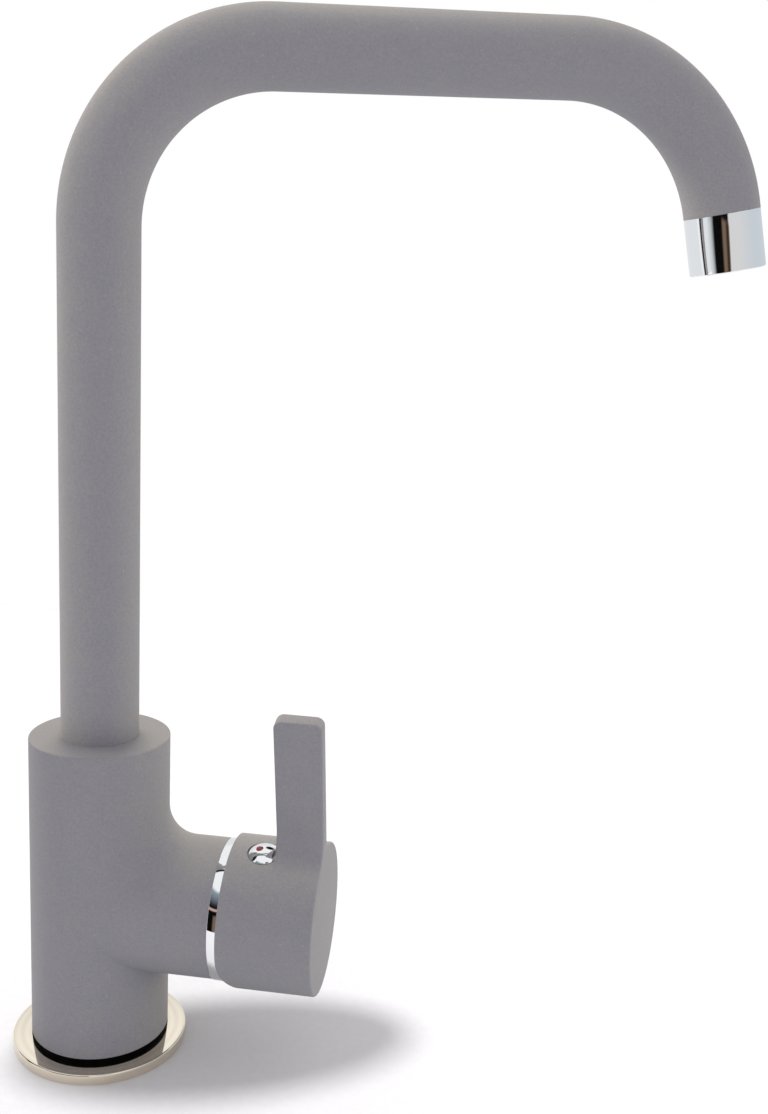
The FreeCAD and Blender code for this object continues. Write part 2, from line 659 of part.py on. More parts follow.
def make_aerator_housing():
    body = new_body("aerator_housing")
    turn(body, "sleeve", [
        (THREAD_RADIUS, "0"),
        ("tube_radius", "0"),
        ("tube_radius", "sleeve_length"),
        ("sleeve_mouth", "sleeve_length"),
        ("sleeve_mouth", "sleeve_length - sleeve_lip"),
        (THREAD_RADIUS, "sleeve_length - sleeve_lip"),
    ])
    soften(body, "outer_edge", "sleeve_edge", lambda edge: flat_at(edge, "Z", "sleeve_length")
           and near(edge.BoundBox.XMax, "tube_radius"))
    body.Placement = OUTLET
    return body


def make_aerator_washer():
    body = make_flat_ring("aerator_washer", "bush_bore", f"{THREAD_RADIUS} - seat_gap",
                          "bush_reach", "washer_height")
    body.Placement = OUTLET
    return body


def make_aerator_insert():
    """Plastic cup with a ring of jets in its plate."""
    body = new_body("aerator_insert")
    rim = f"({THREAD_RADIUS} - seat_gap)"
    turn(body, "cup", [
        ("0", INSERT_START),
        (rim, INSERT_START),
        (rim, f"{INSERT_START} + insert_rim"),
        (f"{rim} - insert_step", f"{INSERT_START} + insert_rim"),
        (f"{rim} - insert_step", SCREEN_START),
        (f"{rim} - insert_step - insert_wall", SCREEN_START),
        (f"{rim} - insert_step - insert_wall", f"{INSERT_START} + insert_wall"),
        ("0", f"{INSERT_START} + insert_wall"),
    ])
    jet = disc(body, "jet", "XY_Plane", INSERT_START, "jet_radius", "insert_wall",
               across="jet_circle", cut=True, backwards=True)
    ring = body.newObject("PartDesign::PolarPattern", "jets")
    ring.Originals = [jet]
    ring.Axis = (plane_of(body, "Z_Axis"), [""])
    ring.Angle = 360
    ring.setExpression("Occurrences", linked("jet_count"))
    body.Tip = ring
    doc.recompute()
    body.Placement = OUTLET
    return body


def make_aerator_screen():
    """Honeycomb screen: rows of hexagonal cells, one pocket and its pattern to a row."""
    body = new_body("aerator_screen")
    disc(body, "plate", "XY_Plane", SCREEN_START, f"{THREAD_RADIUS} - seat_gap", "screen_height")
    cells_in_row = [4, 5, 6, 7, 6, 5, 4]
    middle_row = len(cells_in_row) // 2
    for row, cells in enumerate(cells_in_row):
        first = f"(-cell_pitch * {(cells - 1) / 2})"
        upward = f"(cell_pitch * sin(60) * {row - middle_row})"
        corners = []
        for step in range(6):
            angle = 60 * step + 30
            corners.append((f"{first} + cell_flat / 2 / cos(30) * cos({angle})",
                            f"{upward} + cell_flat / 2 / cos(30) * sin({angle})"))
        cell = block(body, f"cell_{row}", "XY_Plane", SCREEN_START, corners, "screen_height",
                     cut=True, backwards=True)
        pattern = body.newObject("PartDesign::LinearPattern", f"row_{row}")
        pattern.Originals = [cell]
        pattern.Direction = (plane_of(body, "X_Axis"), [""])
        pattern.setExpression("Length", linked(f"cell_pitch * {cells - 1}"))
        pattern.Occurrences = cells
        body.Tip = pattern
        doc.recompute()
    body.Placement = OUTLET
    return body


# Ports of the cartridge in the lever's frame: radius, up, and towards the front.
PORTS = [
    ("outlet_radius", "outlet_rise", "0"),
    ("inlet_radius", "-inlet_drop", "inlet_side"),
    ("inlet_radius", "-inlet_drop", "-inlet_side"),
]


def make_cartridge_base():
    body = new_body("cartridge_base")
    disc(body, "base", "XY_Plane", BASE_START, HOUSING_RADIUS, "base_height")
    for index, (radius, upward, front) in enumerate(PORTS, 1):
        disc(body, f"port_{index}", "XY_Plane", BASE_START, radius, "base_height",
             across=upward, upward=front, cut=True, backwards=True)
        disc(body, f"seal_seat_{index}", "XY_Plane", BASE_START,
             f"{radius} + port_seal_margin + port_seal_wire", "2 * port_seal_wire - seat_gap",
             across=upward, upward=front, cut=True, backwards=True)
    body.Placement = FIXED
    return body


def make_fixed_disc():
    body = new_body("fixed_disc")
    disc(body, "plate", "XY_Plane", BASE_END, "fixed_disc_radius", "fixed_disc_height")
    for index, (radius, upward, front) in enumerate(PORTS, 1):
        disc(body, f"port_{index}", "XY_Plane", BASE_END, f"{radius} - seat_gap",
             "fixed_disc_height", across=upward, upward=front, cut=True, backwards=True)
    body.Placement = FIXED
    return body


def make_cartridge_housing():
    body = new_body("cartridge_housing")
    turn(body, "shell", [
        (HOUSING_BORE, BASE_END),
        (HOUSING_RADIUS, BASE_END),
        (HOUSING_RADIUS, SHOULDER),
        (f"{NECK_BORE} + neck_wall", SHOULDER),
        (f"{NECK_BORE} + neck_wall", NECK_END),
        (NECK_BORE, NECK_END),
        (NECK_BORE, LID_START),
        (HOUSING_BORE, LID_START),
    ])
    body.Placement = FIXED
    return body


def make_clamp_nut():
    """Threaded ring that holds the cartridge and the collar, with a hexagon on top."""
    body = new_body("clamp_nut")
    block(body, "hexagon", "XY_Plane", COLLAR_SEAT, hexagon("nut_corner"), "nut_height")
    disc(body, "thread", "XY_Plane", SHOULDER, HOUSING_RADIUS, f"{COLLAR_SEAT} - {SHOULDER}")
    disc(body, "bore", "XY_Plane", SHOULDER, "nut_bore", f"{COLLAR_SEAT} - {SHOULDER} + nut_height",
         cut=True, backwards=True)
    body.Placement = FIXED
    return body


def make_dome_collar():
    """Chrome collar: a band on the branch's end and a dome about the rocking axis."""
    body = new_body("dome_collar")
    inner_dome = "(dome_radius - collar_wall)"
    inner_band = "(collar_radius - collar_wall)"
    flange_bore = "(chamber_radius + seat_gap)"
    turn(body, "collar", [
        (flange_bore, "branch_length"),
        ("collar_radius", "branch_length"),
        ("collar_radius", "pivot_reach + sqrt(dome_radius ^ 2 - collar_radius ^ 2)", "dome_radius", "left"),
        ("dome_radius * sin(dome_opening)", "pivot_reach + dome_radius * cos(dome_opening)"),
        (f"{inner_dome} * sin(dome_opening)", f"pivot_reach + {inner_dome} * cos(dome_opening)",
         inner_dome, "right"),
        (inner_band, f"pivot_reach + sqrt({inner_dome} ^ 2 - {inner_band} ^ 2)"),
        (inner_band, COLLAR_SEAT),
        (flange_bore, COLLAR_SEAT),
    ])
    body.Placement = FIXED
    return body


def make_swivel_head():
    """Turns with the lever: it holds the rocking pin and guides the carrier."""
    body = new_body("swivel_head")
    turn(body, "head", [
        ("0", FLANGE_START),
        (f"{HOUSING_BORE} - run_gap", FLANGE_START),
        (f"{HOUSING_BORE} - run_gap", FLANGE_END),
        ("turret_radius", FLANGE_END),
        ("turret_radius", TURRET_END),
        ("0", TURRET_END),
    ])
    below = f"(pivot_reach - {FLANGE_START})"
    slot = f"({below} * tan(lift_angle) + stem_tail / cos(lift_angle) + free_gap)"
    half_width = "(eye_width / 2 + free_gap)"
    block(body, "stem_slot", "XY_Plane", TURRET_END,
          rectangle(f"-{slot}", slot, f"-{half_width}", half_width),
          f"{TURRET_END} - {FLANGE_START}", cut=True)
    for side, sign in (("front", 1), ("back", -1)):
        low = f"({sign} * guide_side - guide_width / 2)"
        block(body, side + "_tongue", "XY_Plane", FLANGE_START,
              rectangle("-guide_length / 2", "guide_length / 2", low, f"{low} + guide_width"),
              "guide_depth", backwards=True)
    disc(body, "pin_hole", "XZ_Plane", "0", "pin_radius + film_gap", "2 * turret_radius + overcut",
         upward="pivot_reach", cut=True, both_ways=True)
    body.Placement = ROLLED
    return body


def make_stem_pin():
    pin = doc.addObject("Part::Cylinder", "stem_pin")
    pin.Label = "stem_pin"
    pin.setExpression("Radius", linked("pin_radius"))
    pin.setExpression("Height", linked("2 * turret_radius - 2 * free_gap"))
    across = Placement(Vector(0, 0, size("pivot_reach")), Rotation(Vector(1, 0, 0), 90))
    centre = Placement(Vector(0, 0, -size("turret_radius - free_gap")), Rotation())
    pin.Placement = ROLLED * across * centre
    return pin


def make_moving_disc():
    body = new_body("moving_disc")
    disc(body, "plate", "XY_Plane", MOVING_START, "moving_disc_radius", "moving_disc_height")
    disc(body, "mixing_recess", "XY_Plane", MOVING_START, "mixing_radius", "mixing_depth",
         cut=True, backwards=True)
    body.Placement = ROLLED * Placement(Vector(-size(DISC_TRAVEL) / 2, 0, 0), Rotation())
    return body


def make_disc_carrier():
    body = new_body("disc_carrier")
    disc(body, "plug", "XY_Plane", MOVING_END, "carrier_radius", "carrier_height")
    disc(body, "ball_socket", "XY_Plane", CARRIER_END, "ball_radius + seat_gap + run_gap",
         f"{CARRIER_END} - pivot_reach + ball_arm + ball_radius + free_gap",
         across=f"{DISC_TRAVEL} / 2", cut=True)
    disc(body, "socket_mouth", "XY_Plane", CARRIER_END, "ball_radius + mouth_relief",
         "mouth_relief", across=f"{DISC_TRAVEL} / 2", cut=True)
    for side, sign in (("front", 1), ("back", -1)):
        low = f"({sign} * guide_side - guide_width / 2 - seat_gap)"
        block(body, side + "_guide", "XY_Plane", CARRIER_END,
              rectangle("-carrier_radius", "carrier_radius", low, f"{low} + guide_width + 2 * seat_gap"),
              "guide_depth", cut=True)
    body.Placement = ROLLED * Placement(Vector(-size(DISC_TRAVEL) / 2, 0, 0), Rotation())
    return body


def make_lever_stem():
    """Spindle: square for the lever, an eye on the rocking pin and a ball for the carrier."""
    body = new_body("lever_stem")
    ball_middle = "(pivot_reach - ball_arm)"
    ball_join = f"({ball_middle} + sqrt(ball_radius ^ 2 - stem_tail ^ 2))"
    turn(body, "shank", [
        ("0", f"{ball_middle} - ball_radius", "ball_radius", "left"),
        ("stem_tail", ball_join),
        ("stem_tail", "pivot_reach"),
        ("stem_radius", "pivot_reach"),
        ("stem_radius", SQUARE_START),
        ("0", SQUARE_START),
    ])
    disc(body, "eye", "XZ_Plane", "0", "eye_radius", "eye_width", upward="pivot_reach", both_ways=True)
    half = "square_width / 2"
    block(body, "square", "XY_Plane", SQUARE_START,
          rectangle(f"-{half}", half, f"-{half}", half), "square_length")
    disc(body, "pin_bore", "XZ_Plane", "0", "pin_radius + run_gap", "eye_width + overcut",
         upward="pivot_reach", cut=True, both_ways=True)
    body.Placement = ROLLED
    return body


def make_lever_handle():
    """Hollow cap with a flat upright paddle, cast in one piece."""
    body = new_body("lever_handle")
    disc(body, "cap", "XY_Plane", "cap_start", "cap_radius", "paddle_start - cap_start")
    back = "(paddle_front - paddle_thickness)"
    front_v = "(paddle_front + front_blend)"
    front_u = f"sqrt((cap_radius + front_blend) ^ 2 - {front_v} ^ 2)"
    front_share = "cap_radius / (cap_radius + front_blend)"
    back_v = f"({back} - back_blend)"
    back_u = f"sqrt((cap_radius + back_blend) ^ 2 - {back_v} ^ 2)"
    back_share = "cap_radius / (cap_radius + back_blend)"
    block(body, "paddle", "XY_Plane", "paddle_start", [
        ("paddle_height", back),
        ("paddle_height", "paddle_front"),
        (front_u, "paddle_front", "front_blend", "right"),
        (f"{front_share} * {front_u}", f"{front_share} * {front_v}", "cap_radius", "left"),
        ("-cap_radius", "0", "cap_radius", "left"),
        (f"{back_share} * {back_u}", f"{back_share} * {back_v}", "back_blend", "right"),
        (back_u, back),
    ], "cap_end - paddle_start")
    soften(body, "end_edge", "cap_edge", lambda edge: flat_at(edge, "Z", "cap_end"))
    past_tip = "paddle_height + overcut"
    round_start = "paddle_height - paddle_corner"
    block(body, "outer_corner", "XZ_Plane", "0", [
        (round_start, "cap_end", "paddle_corner", "right"),
        ("paddle_height", "cap_end - paddle_corner"),
        (past_tip, "cap_end - paddle_corner"),
        (past_tip, "cap_end + overcut"),
        (round_start, "cap_end + overcut"),
    ], "2 * cap_radius", cut=True, both_ways=True)
    block(body, "inner_corner", "XZ_Plane", "0", [
        ("paddle_height", "paddle_start + paddle_corner", "paddle_corner", "right"),
        (round_start, "paddle_start"),
        (round_start, "paddle_start - overcut"),
        (past_tip, "paddle_start - overcut"),
        (past_tip, "paddle_start + paddle_corner"),
    ], "2 * cap_radius", cut=True, both_ways=True)
    turn(body, "cavity", [
        ("0", "cap_start - overcut"),
        ("cap_mouth", "cap_start - overcut"),
        ("cap_mouth", "cap_start + cap_mouth_depth"),
        ("cap_cavity", "cap_start + cap_mouth_depth"),
        ("cap_cavity", "cap_end - cap_floor"),
        ("boss_radius", "cap_end - cap_floor"),
        ("boss_radius", "boss_start"),
        ("0", "boss_start"),
    ], cut=True)
    half = "(square_width / 2 + seat_gap / 2)"
    block(body, "stem_socket", "XY_Plane", "boss_start", rectangle(f"-{half}", half, f"-{half}", half),
          f"{STEM_END} + free_gap - boss_start", cut=True, backwards=True)
    disc(body, "key_way", "YZ_Plane", "cap_radius + overcut", "key_hole",
         "cap_radius + overcut - square_width / 2 + seat_gap", upward="button_place", cut=True)
    disc(body, "button_seat_cut", "YZ_Plane", "cap_radius + overcut", "button_radius + seat_gap",
         "cap_radius + overcut - button_seat", upward="button_place", cut=True)
    lean_x = f"((cap_clearance - (cap_start - pivot_reach) * cos(lift_angle)) / sin(lift_angle))"
    tangent = "(rocker_round * tan(lift_angle / 2))"
    low_x = "(-cap_radius - overcut)"
    low_z = f"(pivot_reach + (cap_clearance - {low_x} * sin(lift_angle)) / cos(lift_angle))"
    block(body, "rocking_relief", "XZ_Plane", "0", [
        (f"{lean_x} + {tangent}", "cap_start", "rocker_round", "left"),
        (f"{lean_x} - {tangent} * cos(lift_angle)", f"cap_start + {tangent} * sin(lift_angle)"),
        (low_x, low_z),
        (low_x, "cap_start - overcut"),
        (f"{lean_x} + {tangent}", "cap_start - overcut"),
    ], "2 * cap_radius + 2 * overcut", cut=True, both_ways=True)
    body.Placement = ROLLED
    return body


def make_handle_set_screw():
    """Grub screw through the boss onto the stem's flat."""
    body = new_body("handle_set_screw")
    tip = "(square_width / 2 + film_gap)"
    turn(body, "screw", [
        ("0", tip),
        ("grip_screw_radius", tip),
        ("grip_screw_radius", f"{tip} + grip_screw_length"),
        ("0", f"{tip} + grip_screw_length"),
    ])
    block(body, "socket", "XY_Plane", f"{tip} + grip_screw_length", hexagon("hex_key"),
          "key_depth", cut=True)
    body.Placement = BUTTON
    return body


def make_index_button():
    """Domed button with a plug that closes the key hole."""
    body = new_body("index_button")
    seat = "button_seat"
    rim = f"({seat} + button_edge)"
    dome_middle = f"({rim} - sqrt(button_dome ^ 2 - button_radius ^ 2))"
    turn(body, "button", [
        ("0", f"{seat} - button_plug"),
        ("key_hole - run_gap", f"{seat} - button_plug"),
        ("key_hole - run_gap", seat),
        ("button_radius", seat),
        ("button_radius", rim, "button_dome", "left"),
        ("0", f"{dome_middle} + button_dome"),
    ])
    disc(body, "dot_seat", "XY_Plane", f"{dome_middle} + button_dome + overcut", "dot_radius",
         "overcut + dot_depth", across="dot_offset", cut=True)
    body.Placement = BUTTON
    return body


def make_index_dot():
    body = new_body("index_dot")
    rim = "(button_seat + button_edge)"
    top = f"({rim} - sqrt(button_dome ^ 2 - button_radius ^ 2) + button_dome)"
    turn(body, "dot", [
        ("0", f"{top} - dot_depth"),
        ("dot_radius - run_gap", f"{top} - dot_depth"),
        ("dot_radius - run_gap", f"{top} - seat_gap"),
        ("0", f"{top} - seat_gap / 2"),
    ])
    body.Placement = BUTTON * Placement(Vector(size("dot_offset"), 0, 0), Rotation())
    return body


SEAL_HEIGHTS = (f"{LOWER_SEAL} + {SEAL_GROOVE} / 2", f"{UPPER_SEAL} + {SEAL_GROOVE} / 2")
PORT_SEALS = [(f"{radius} + port_seal_margin", "port_seal_wire",
               (upward, front, "chamber_floor + port_seal_wire")) for radius, upward, front in PORTS]

parts = [
    make_base_ring(),
    make_flat_ring("deck_gasket", "gasket_inner", "gasket_outer", "0", "gasket_height"),
    make_flat_ring("base_seal", "spigot_radius + run_gap", "body_radius", "ring_height", "seal_height"),
    make_faucet_body(),
    make_lock_screw(),
    make_spout_tube(),
    make_spout_ferrule(),
    make_glide_ring("lower_glide_ring", LOWER_GLIDE),
    make_glide_ring("upper_glide_ring", UPPER_GLIDE),
    make_seal_group("spout_o_rings", SPOUT,
                    [(SEAL_RADIUS, "spout_seal_wire", ("0", "0", height)) for height in SEAL_HEIGHTS]),
    make_outlet_bush(),
    make_aerator_washer(),
    make_aerator_housing(),
    make_aerator_insert(),
    make_aerator_screen(),
    make_cartridge_base(),
    make_seal_group("cartridge_seals", FIXED, PORT_SEALS),
    make_fixed_disc(),
    make_cartridge_housing(),
    make_clamp_nut(),
    make_dome_collar(),
    make_swivel_head(),
    make_stem_pin(),
    make_moving_disc(),
    make_disc_carrier(),
    make_lever_stem(),
    make_lever_handle(),
    make_handle_set_screw(),
    make_index_button(),
    make_index_dot(),
]
doc.recompute()

for item in doc.Objects:
    if "Invalid" in item.State or "Error" in item.State:
        raise RuntimeError(f"{item.Label} did not build: {item.State}")
for part in parts:
    if part.Shape.isNull() or not part.Shape.isValid():
        raise RuntimeError(f"{part.Label} has no valid shape")

os.makedirs("parts", exist_ok=True)
for part in parts:
    part.Shape.exportStep(f"parts/{part.Label}.step")
    box = part.Shape.BoundBox
    print(f"{part.Label}: {len(part.Shape.Solids)} solid, {part.Shape.Volume:.1f} mm3, "
          f"z {box.ZMin:.2f} to {box.ZMax:.2f}")
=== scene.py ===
# %% [markdown]
# # A stone-effect kitchen faucet
# The faucet is a brass casting and a bent brass tube under a sprayed, baked coating that looks
# like fine granite. Bright chrome trim sits at the lever joint and at the water outlet, and a
# cream-white plated ring stands on the deck. The frame already holds every piece at its real
# size, inside and out. This lesson gives each piece its finish, and models again the pieces
# whose surfaces the eye reads most closely: the tube, the lever and everything that mirrors.

import math

import bpy
from mathutils import Matrix, Vector


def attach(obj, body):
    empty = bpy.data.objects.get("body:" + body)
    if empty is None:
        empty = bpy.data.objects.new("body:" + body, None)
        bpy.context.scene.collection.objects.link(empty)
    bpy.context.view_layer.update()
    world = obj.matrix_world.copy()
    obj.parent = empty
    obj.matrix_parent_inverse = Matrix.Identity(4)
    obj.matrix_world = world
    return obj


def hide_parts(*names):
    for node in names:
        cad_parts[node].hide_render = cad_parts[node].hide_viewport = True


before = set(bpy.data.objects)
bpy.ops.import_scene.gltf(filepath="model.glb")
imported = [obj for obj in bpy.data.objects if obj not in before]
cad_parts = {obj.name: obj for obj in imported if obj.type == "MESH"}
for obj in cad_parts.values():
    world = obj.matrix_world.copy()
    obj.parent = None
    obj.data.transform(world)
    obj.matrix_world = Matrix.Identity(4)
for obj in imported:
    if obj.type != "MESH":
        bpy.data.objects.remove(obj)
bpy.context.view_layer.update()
MM = 0.001
print("pieces in the frame:", len(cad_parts))

# %% [markdown]
# Colours are written as the hex values that a designer would pick on a screen. Blender's shaders
# work in linear light, so one function turns them round. Another adds a node to a material with
# its settings and links, so that each finish below reads as a short list.

# %% Colour and node helpers


def linear(hex_text):
    """Linear RGBA of an sRGB hex colour."""
    channels = [int(hex_text[i:i + 2], 16) / 255 for i in (1, 3, 5)]
    return tuple(c / 12.92 if c <= 0.04045 else ((c + 0.055) / 1.055) ** 2.4
                 for c in channels) + (1.0,)


def add_node(tree, kind, settings=None, links=None):
    """Add a node. Settings name its properties or input sockets, links name what feeds them."""
    node = tree.nodes.new(kind)
    for name, value in (settings or {}).items():
        if isinstance(name, str) and hasattr(node, name):
            setattr(node, name, value)
        else:
            node.inputs[name].default_value = value
    for name, source in (links or {}).items():
        tree.links.new(source, node.inputs[name])
    return node


def new_finish(name):
    """Empty material with its shader, its output and the place on the piece to paint by."""
    material = bpy.data.materials.new(name)
    material.use_nodes = True
    tree = material.node_tree
    tree.nodes.clear()
    shader = add_node(tree, "ShaderNodeBsdfPrincipled")
    add_node(tree, "ShaderNodeOutputMaterial", links={"Surface": shader.outputs["BSDF"]})
    place = add_node(tree, "ShaderNodeTexCoord").outputs["Object"]
    return material, tree, shader, place


def two_tones(ramp, low, low_colour, high, high_colour):
    """Set a colour ramp to run from one colour to another."""
    ends = ramp.color_ramp.elements
    ends[0].position, ends[0].color = low, linear(low_colour)
    ends[1].position, ends[1].color = high, linear(high_colour)


def per_metre(size_mm):
    """Texture scale that repeats a pattern at a real size in millimetres."""
    return 1000.0 / size_mm


print("mid grey is", [round(c, 3) for c in linear("#808080")[:3]])

# %% [markdown]
# ## The coating
# The coating is a polyester resin filled with stone powder, sprayed thick and baked. It could be
# painted with a photograph of stone, but noise in three dimensions needs no unwrapping and runs
# through every edge without a seam. Three sizes of it are layered: clouds a few millimetres wide
# where the spray was heavier, a fine grain of warm and cool greys, and a sparse pepper of darker
# and paler grit. It is matte, so the same grain also lifts the surface by a few hundredths of a
# millimetre, which breaks up the light as the real film does.

# %% Granite-effect coating
granite, tree, shader, place = new_finish("granite_effect_coating")
clouds = add_node(tree, "ShaderNodeTexNoise", {"Scale": per_metre(7.0), "Detail": 3.0},
                  {"Vector": place})
grain = add_node(tree, "ShaderNodeTexNoise",
                 {"Scale": per_metre(0.75), "Detail": 3.0, "Roughness": 0.6}, {"Vector": place})
grit = add_node(tree, "ShaderNodeTexVoronoi", {"Scale": per_metre(0.55)}, {"Vector": place})
cloud_tone = add_node(tree, "ShaderNodeValToRGB", links={"Fac": clouds.outputs["Fac"]})
two_tones(cloud_tone, 0.35, "#7d7f86", 0.65, "#838386")
grain_tone = add_node(tree, "ShaderNodeValToRGB", links={"Fac": grain.outputs["Fac"]})
two_tones(grain_tone, 0.36, "#787a81", 0.64, "#898788")
mottle = add_node(tree, "ShaderNodeMix", {"data_type": "RGBA", "Factor": 0.6},
                  {6: cloud_tone.outputs["Color"], 7: grain_tone.outputs["Color"]})
dark_share = add_node(tree, "ShaderNodeMapRange",
                      {"From Min": 0.10, "From Max": 0.0, "To Max": 0.5},
                      {"Value": grit.outputs["Color"]})
peppered = add_node(tree, "ShaderNodeMix", {"data_type": "RGBA", 7: linear("#6a6b70")},
                    {"Factor": dark_share.outputs["Result"], 6: mottle.outputs[2]})
pale_share = add_node(tree, "ShaderNodeMapRange",
                      {"From Min": 0.90, "From Max": 1.0, "To Max": 0.5},
                      {"Value": grit.outputs["Color"]})
salted = add_node(tree, "ShaderNodeMix", {"data_type": "RGBA", 7: linear("#9d9b97")},
                  {"Factor": pale_share.outputs["Result"], 6: peppered.outputs[2]})
tree.links.new(salted.outputs[2], shader.inputs["Base Color"])
dullness = add_node(tree, "ShaderNodeMapRange", {"To Min": 0.58, "To Max": 0.74},
                    {"Value": clouds.outputs["Fac"]})
tree.links.new(dullness.outputs["Result"], shader.inputs["Roughness"])
shader.inputs["Specular IOR Level"].default_value = 0.3
bump = add_node(tree, "ShaderNodeBump", {"Strength": 0.45, "Distance": 0.00005},
                {"Height": grain.outputs["Fac"]})
tree.links.new(bump.outputs["Normal"], shader.inputs["Normal"])
print("coating layers:", len(tree.nodes))

# %% [markdown]
# ## The mirror metals
# Chrome over polished brass is almost a perfect mirror, with a cool tint. What gives it away as
# real metal is that it is not quite even: where fingers and a cloth have been, the reflection
# softens a little. A large noise drives the roughness for that. The deck ring is plated warmer
# and a trace softer, and its turning lines stay as a shallow ripple about 3 mm wide.

# %% Chrome and ring plating
chrome, tree, shader, place = new_finish("bright_chrome_plate")
shader.inputs["Base Color"].default_value = linear("#eceef0")
shader.inputs["Metallic"].default_value = 1.0
wiped = add_node(tree, "ShaderNodeTexNoise", {"Scale": per_metre(9.0), "Detail": 2.0},
                 {"Vector": place})
sheen = add_node(tree, "ShaderNodeMapRange", {"To Min": 0.02, "To Max": 0.06},
                 {"Value": wiped.outputs["Fac"]})
tree.links.new(sheen.outputs["Result"], shader.inputs["Roughness"])

ring_plate, tree, shader, place = new_finish("satin_nickel_plate")
shader.inputs["Metallic"].default_value = 1.0
lathe = add_node(tree, "ShaderNodeTexWave",
                 {"wave_type": "RINGS", "rings_direction": "Z",
                  "Scale": 100.0, "Distortion": 0.4}, {"Vector": place})
ring_tone = add_node(tree, "ShaderNodeValToRGB", links={"Fac": lathe.outputs["Fac"]})
two_tones(ring_tone, 0.0, "#e9dfcd", 1.0, "#f1e8d8")
tree.links.new(ring_tone.outputs["Color"], shader.inputs["Base Color"])
satin = add_node(tree, "ShaderNodeMapRange", {"To Min": 0.05, "To Max": 0.09},
                 {"Value": lathe.outputs["Fac"]})
tree.links.new(satin.outputs["Result"], shader.inputs["Roughness"])
bump = add_node(tree, "ShaderNodeBump", {"Strength": 0.05, "Distance": 0.00001},
                {"Height": lathe.outputs["Fac"]})
tree.links.new(bump.outputs["Normal"], shader.inputs["Normal"])
print("ring plating layers:", len(tree.nodes))

# %% [markdown]
# ## What is hidden inside
# Under the coating the faucet is full of pieces that a plumber would know: turned brass, a steel
# stem, moulded acetal, two lapped ceramic discs and black rubber rings. They show when the model
# is opened or cut. Turned metal gets lines round its own axis from a stretched noise, moulded
# plastic gets faint flow clouds and a sparked texture, ceramic gets tiny pores, and rubber is a
# near-black that bloom has greyed unevenly.

# %% Turned metals
brass, tree, shader, place = new_finish("turned_brass")
shader.inputs["Metallic"].default_value = 1.0
tarnish = add_node(tree, "ShaderNodeTexNoise", {"Scale": per_metre(6.0), "Detail": 4.0},
                   {"Vector": place})
brass_tone = add_node(tree, "ShaderNodeValToRGB", links={"Fac": tarnish.outputs["Fac"]})
two_tones(brass_tone, 0.35, "#b8934e", 0.7, "#d6b675")
tree.links.new(brass_tone.outputs["Color"], shader.inputs["Base Color"])
drawn = add_node(tree, "ShaderNodeMapping", {"Scale": (1.0, 1.0, 24.0)}, {"Vector": place})
tool_lines = add_node(tree, "ShaderNodeTexNoise", {"Scale": per_metre(4.0), "Detail": 2.0},
                      {"Vector": drawn.outputs["Vector"]})
cut = add_node(tree, "ShaderNodeMapRange", {"To Min": 0.2, "To Max": 0.42},
               {"Value": tool_lines.outputs["Fac"]})
tree.links.new(cut.outputs["Result"], shader.inputs["Roughness"])
bump = add_node(tree, "ShaderNodeBump", {"Strength": 0.3, "Distance": 0.00002},
                {"Height": tool_lines.outputs["Fac"]})
tree.links.new(bump.outputs["Normal"], shader.inputs["Normal"])

steel, tree, shader, place = new_finish("turned_stainless_steel")
shader.inputs["Metallic"].default_value = 1.0
drawn = add_node(tree, "ShaderNodeMapping", {"Scale": (20.0, 1.0, 1.0)}, {"Vector": place})
tool_lines = add_node(tree, "ShaderNodeTexNoise", {"Scale": per_metre(5.0), "Detail": 3.0},
                      {"Vector": drawn.outputs["Vector"]})
steel_tone = add_node(tree, "ShaderNodeValToRGB", links={"Fac": tool_lines.outputs["Fac"]})
two_tones(steel_tone, 0.3, "#a9abad", 0.7, "#c4c5c6")
tree.links.new(steel_tone.outputs["Color"], shader.inputs["Base Color"])
cut = add_node(tree, "ShaderNodeMapRange", {"To Min": 0.18, "To Max": 0.36},
               {"Value": tool_lines.outputs["Fac"]})
tree.links.new(cut.outputs["Result"], shader.inputs["Roughness"])
bump = add_node(tree, "ShaderNodeBump", {"Strength": 0.25, "Distance": 0.00002},
                {"Height": tool_lines.outputs["Fac"]})
tree.links.new(bump.outputs["Normal"], shader.inputs["Normal"])
print("steel layers:", len(tree.nodes))

# %% [markdown]
# Moulded and baked pieces have no tool lines: their colour drifts softly between two tones, and
# one function sets that up. The red mark is enamel with a thin clear coat.

# %% Moulded plastics, ceramic, rubber and enamel


def clouded_finish(name, low, low_colour, high, high_colour, settings, cloud_size, detail):
    """Finish whose colour drifts between two tones, with its other shader settings."""
    material, tree, shader, place = new_finish(name)
    drift = add_node(tree, "ShaderNodeTexNoise",
                     {"Scale": per_metre(cloud_size), "Detail": detail}, {"Vector": place})
    tone = add_node(tree, "ShaderNodeValToRGB", links={"Fac": drift.outputs["Fac"]})
    two_tones(tone, low, low_colour, high, high_colour)
    tree.links.new(tone.outputs["Color"], shader.inputs["Base Color"])
    for setting, value in settings.items():
        shader.inputs[setting].default_value = value
    return material, tree, shader, place, drift


acetals = []
for name, cloud_size, dark, pale, roughness, spark_strength in (
        ("white_acetal", 12.0, "#dddcd6", "#ebeae5", 0.42, 0.2),
        ("grey_acetal", 10.0, "#73787c", "#83888b", 0.45, 0.25)):
    acetal, tree, shader, place, _ = clouded_finish(
        name, 0.3, dark, 0.7, pale, {"Roughness": roughness}, cloud_size=cloud_size, detail=2.0)
    sparked = add_node(tree, "ShaderNodeTexNoise", {"Scale": per_metre(0.3), "Detail": 2.0},
                       {"Vector": place})
    bump = add_node(tree, "ShaderNodeBump", {"Strength": spark_strength, "Distance": 0.00003},
                    {"Height": sparked.outputs["Fac"]})
    tree.links.new(bump.outputs["Normal"], shader.inputs["Normal"])
    acetals.append(acetal)
acetal_white, acetal_grey = acetals

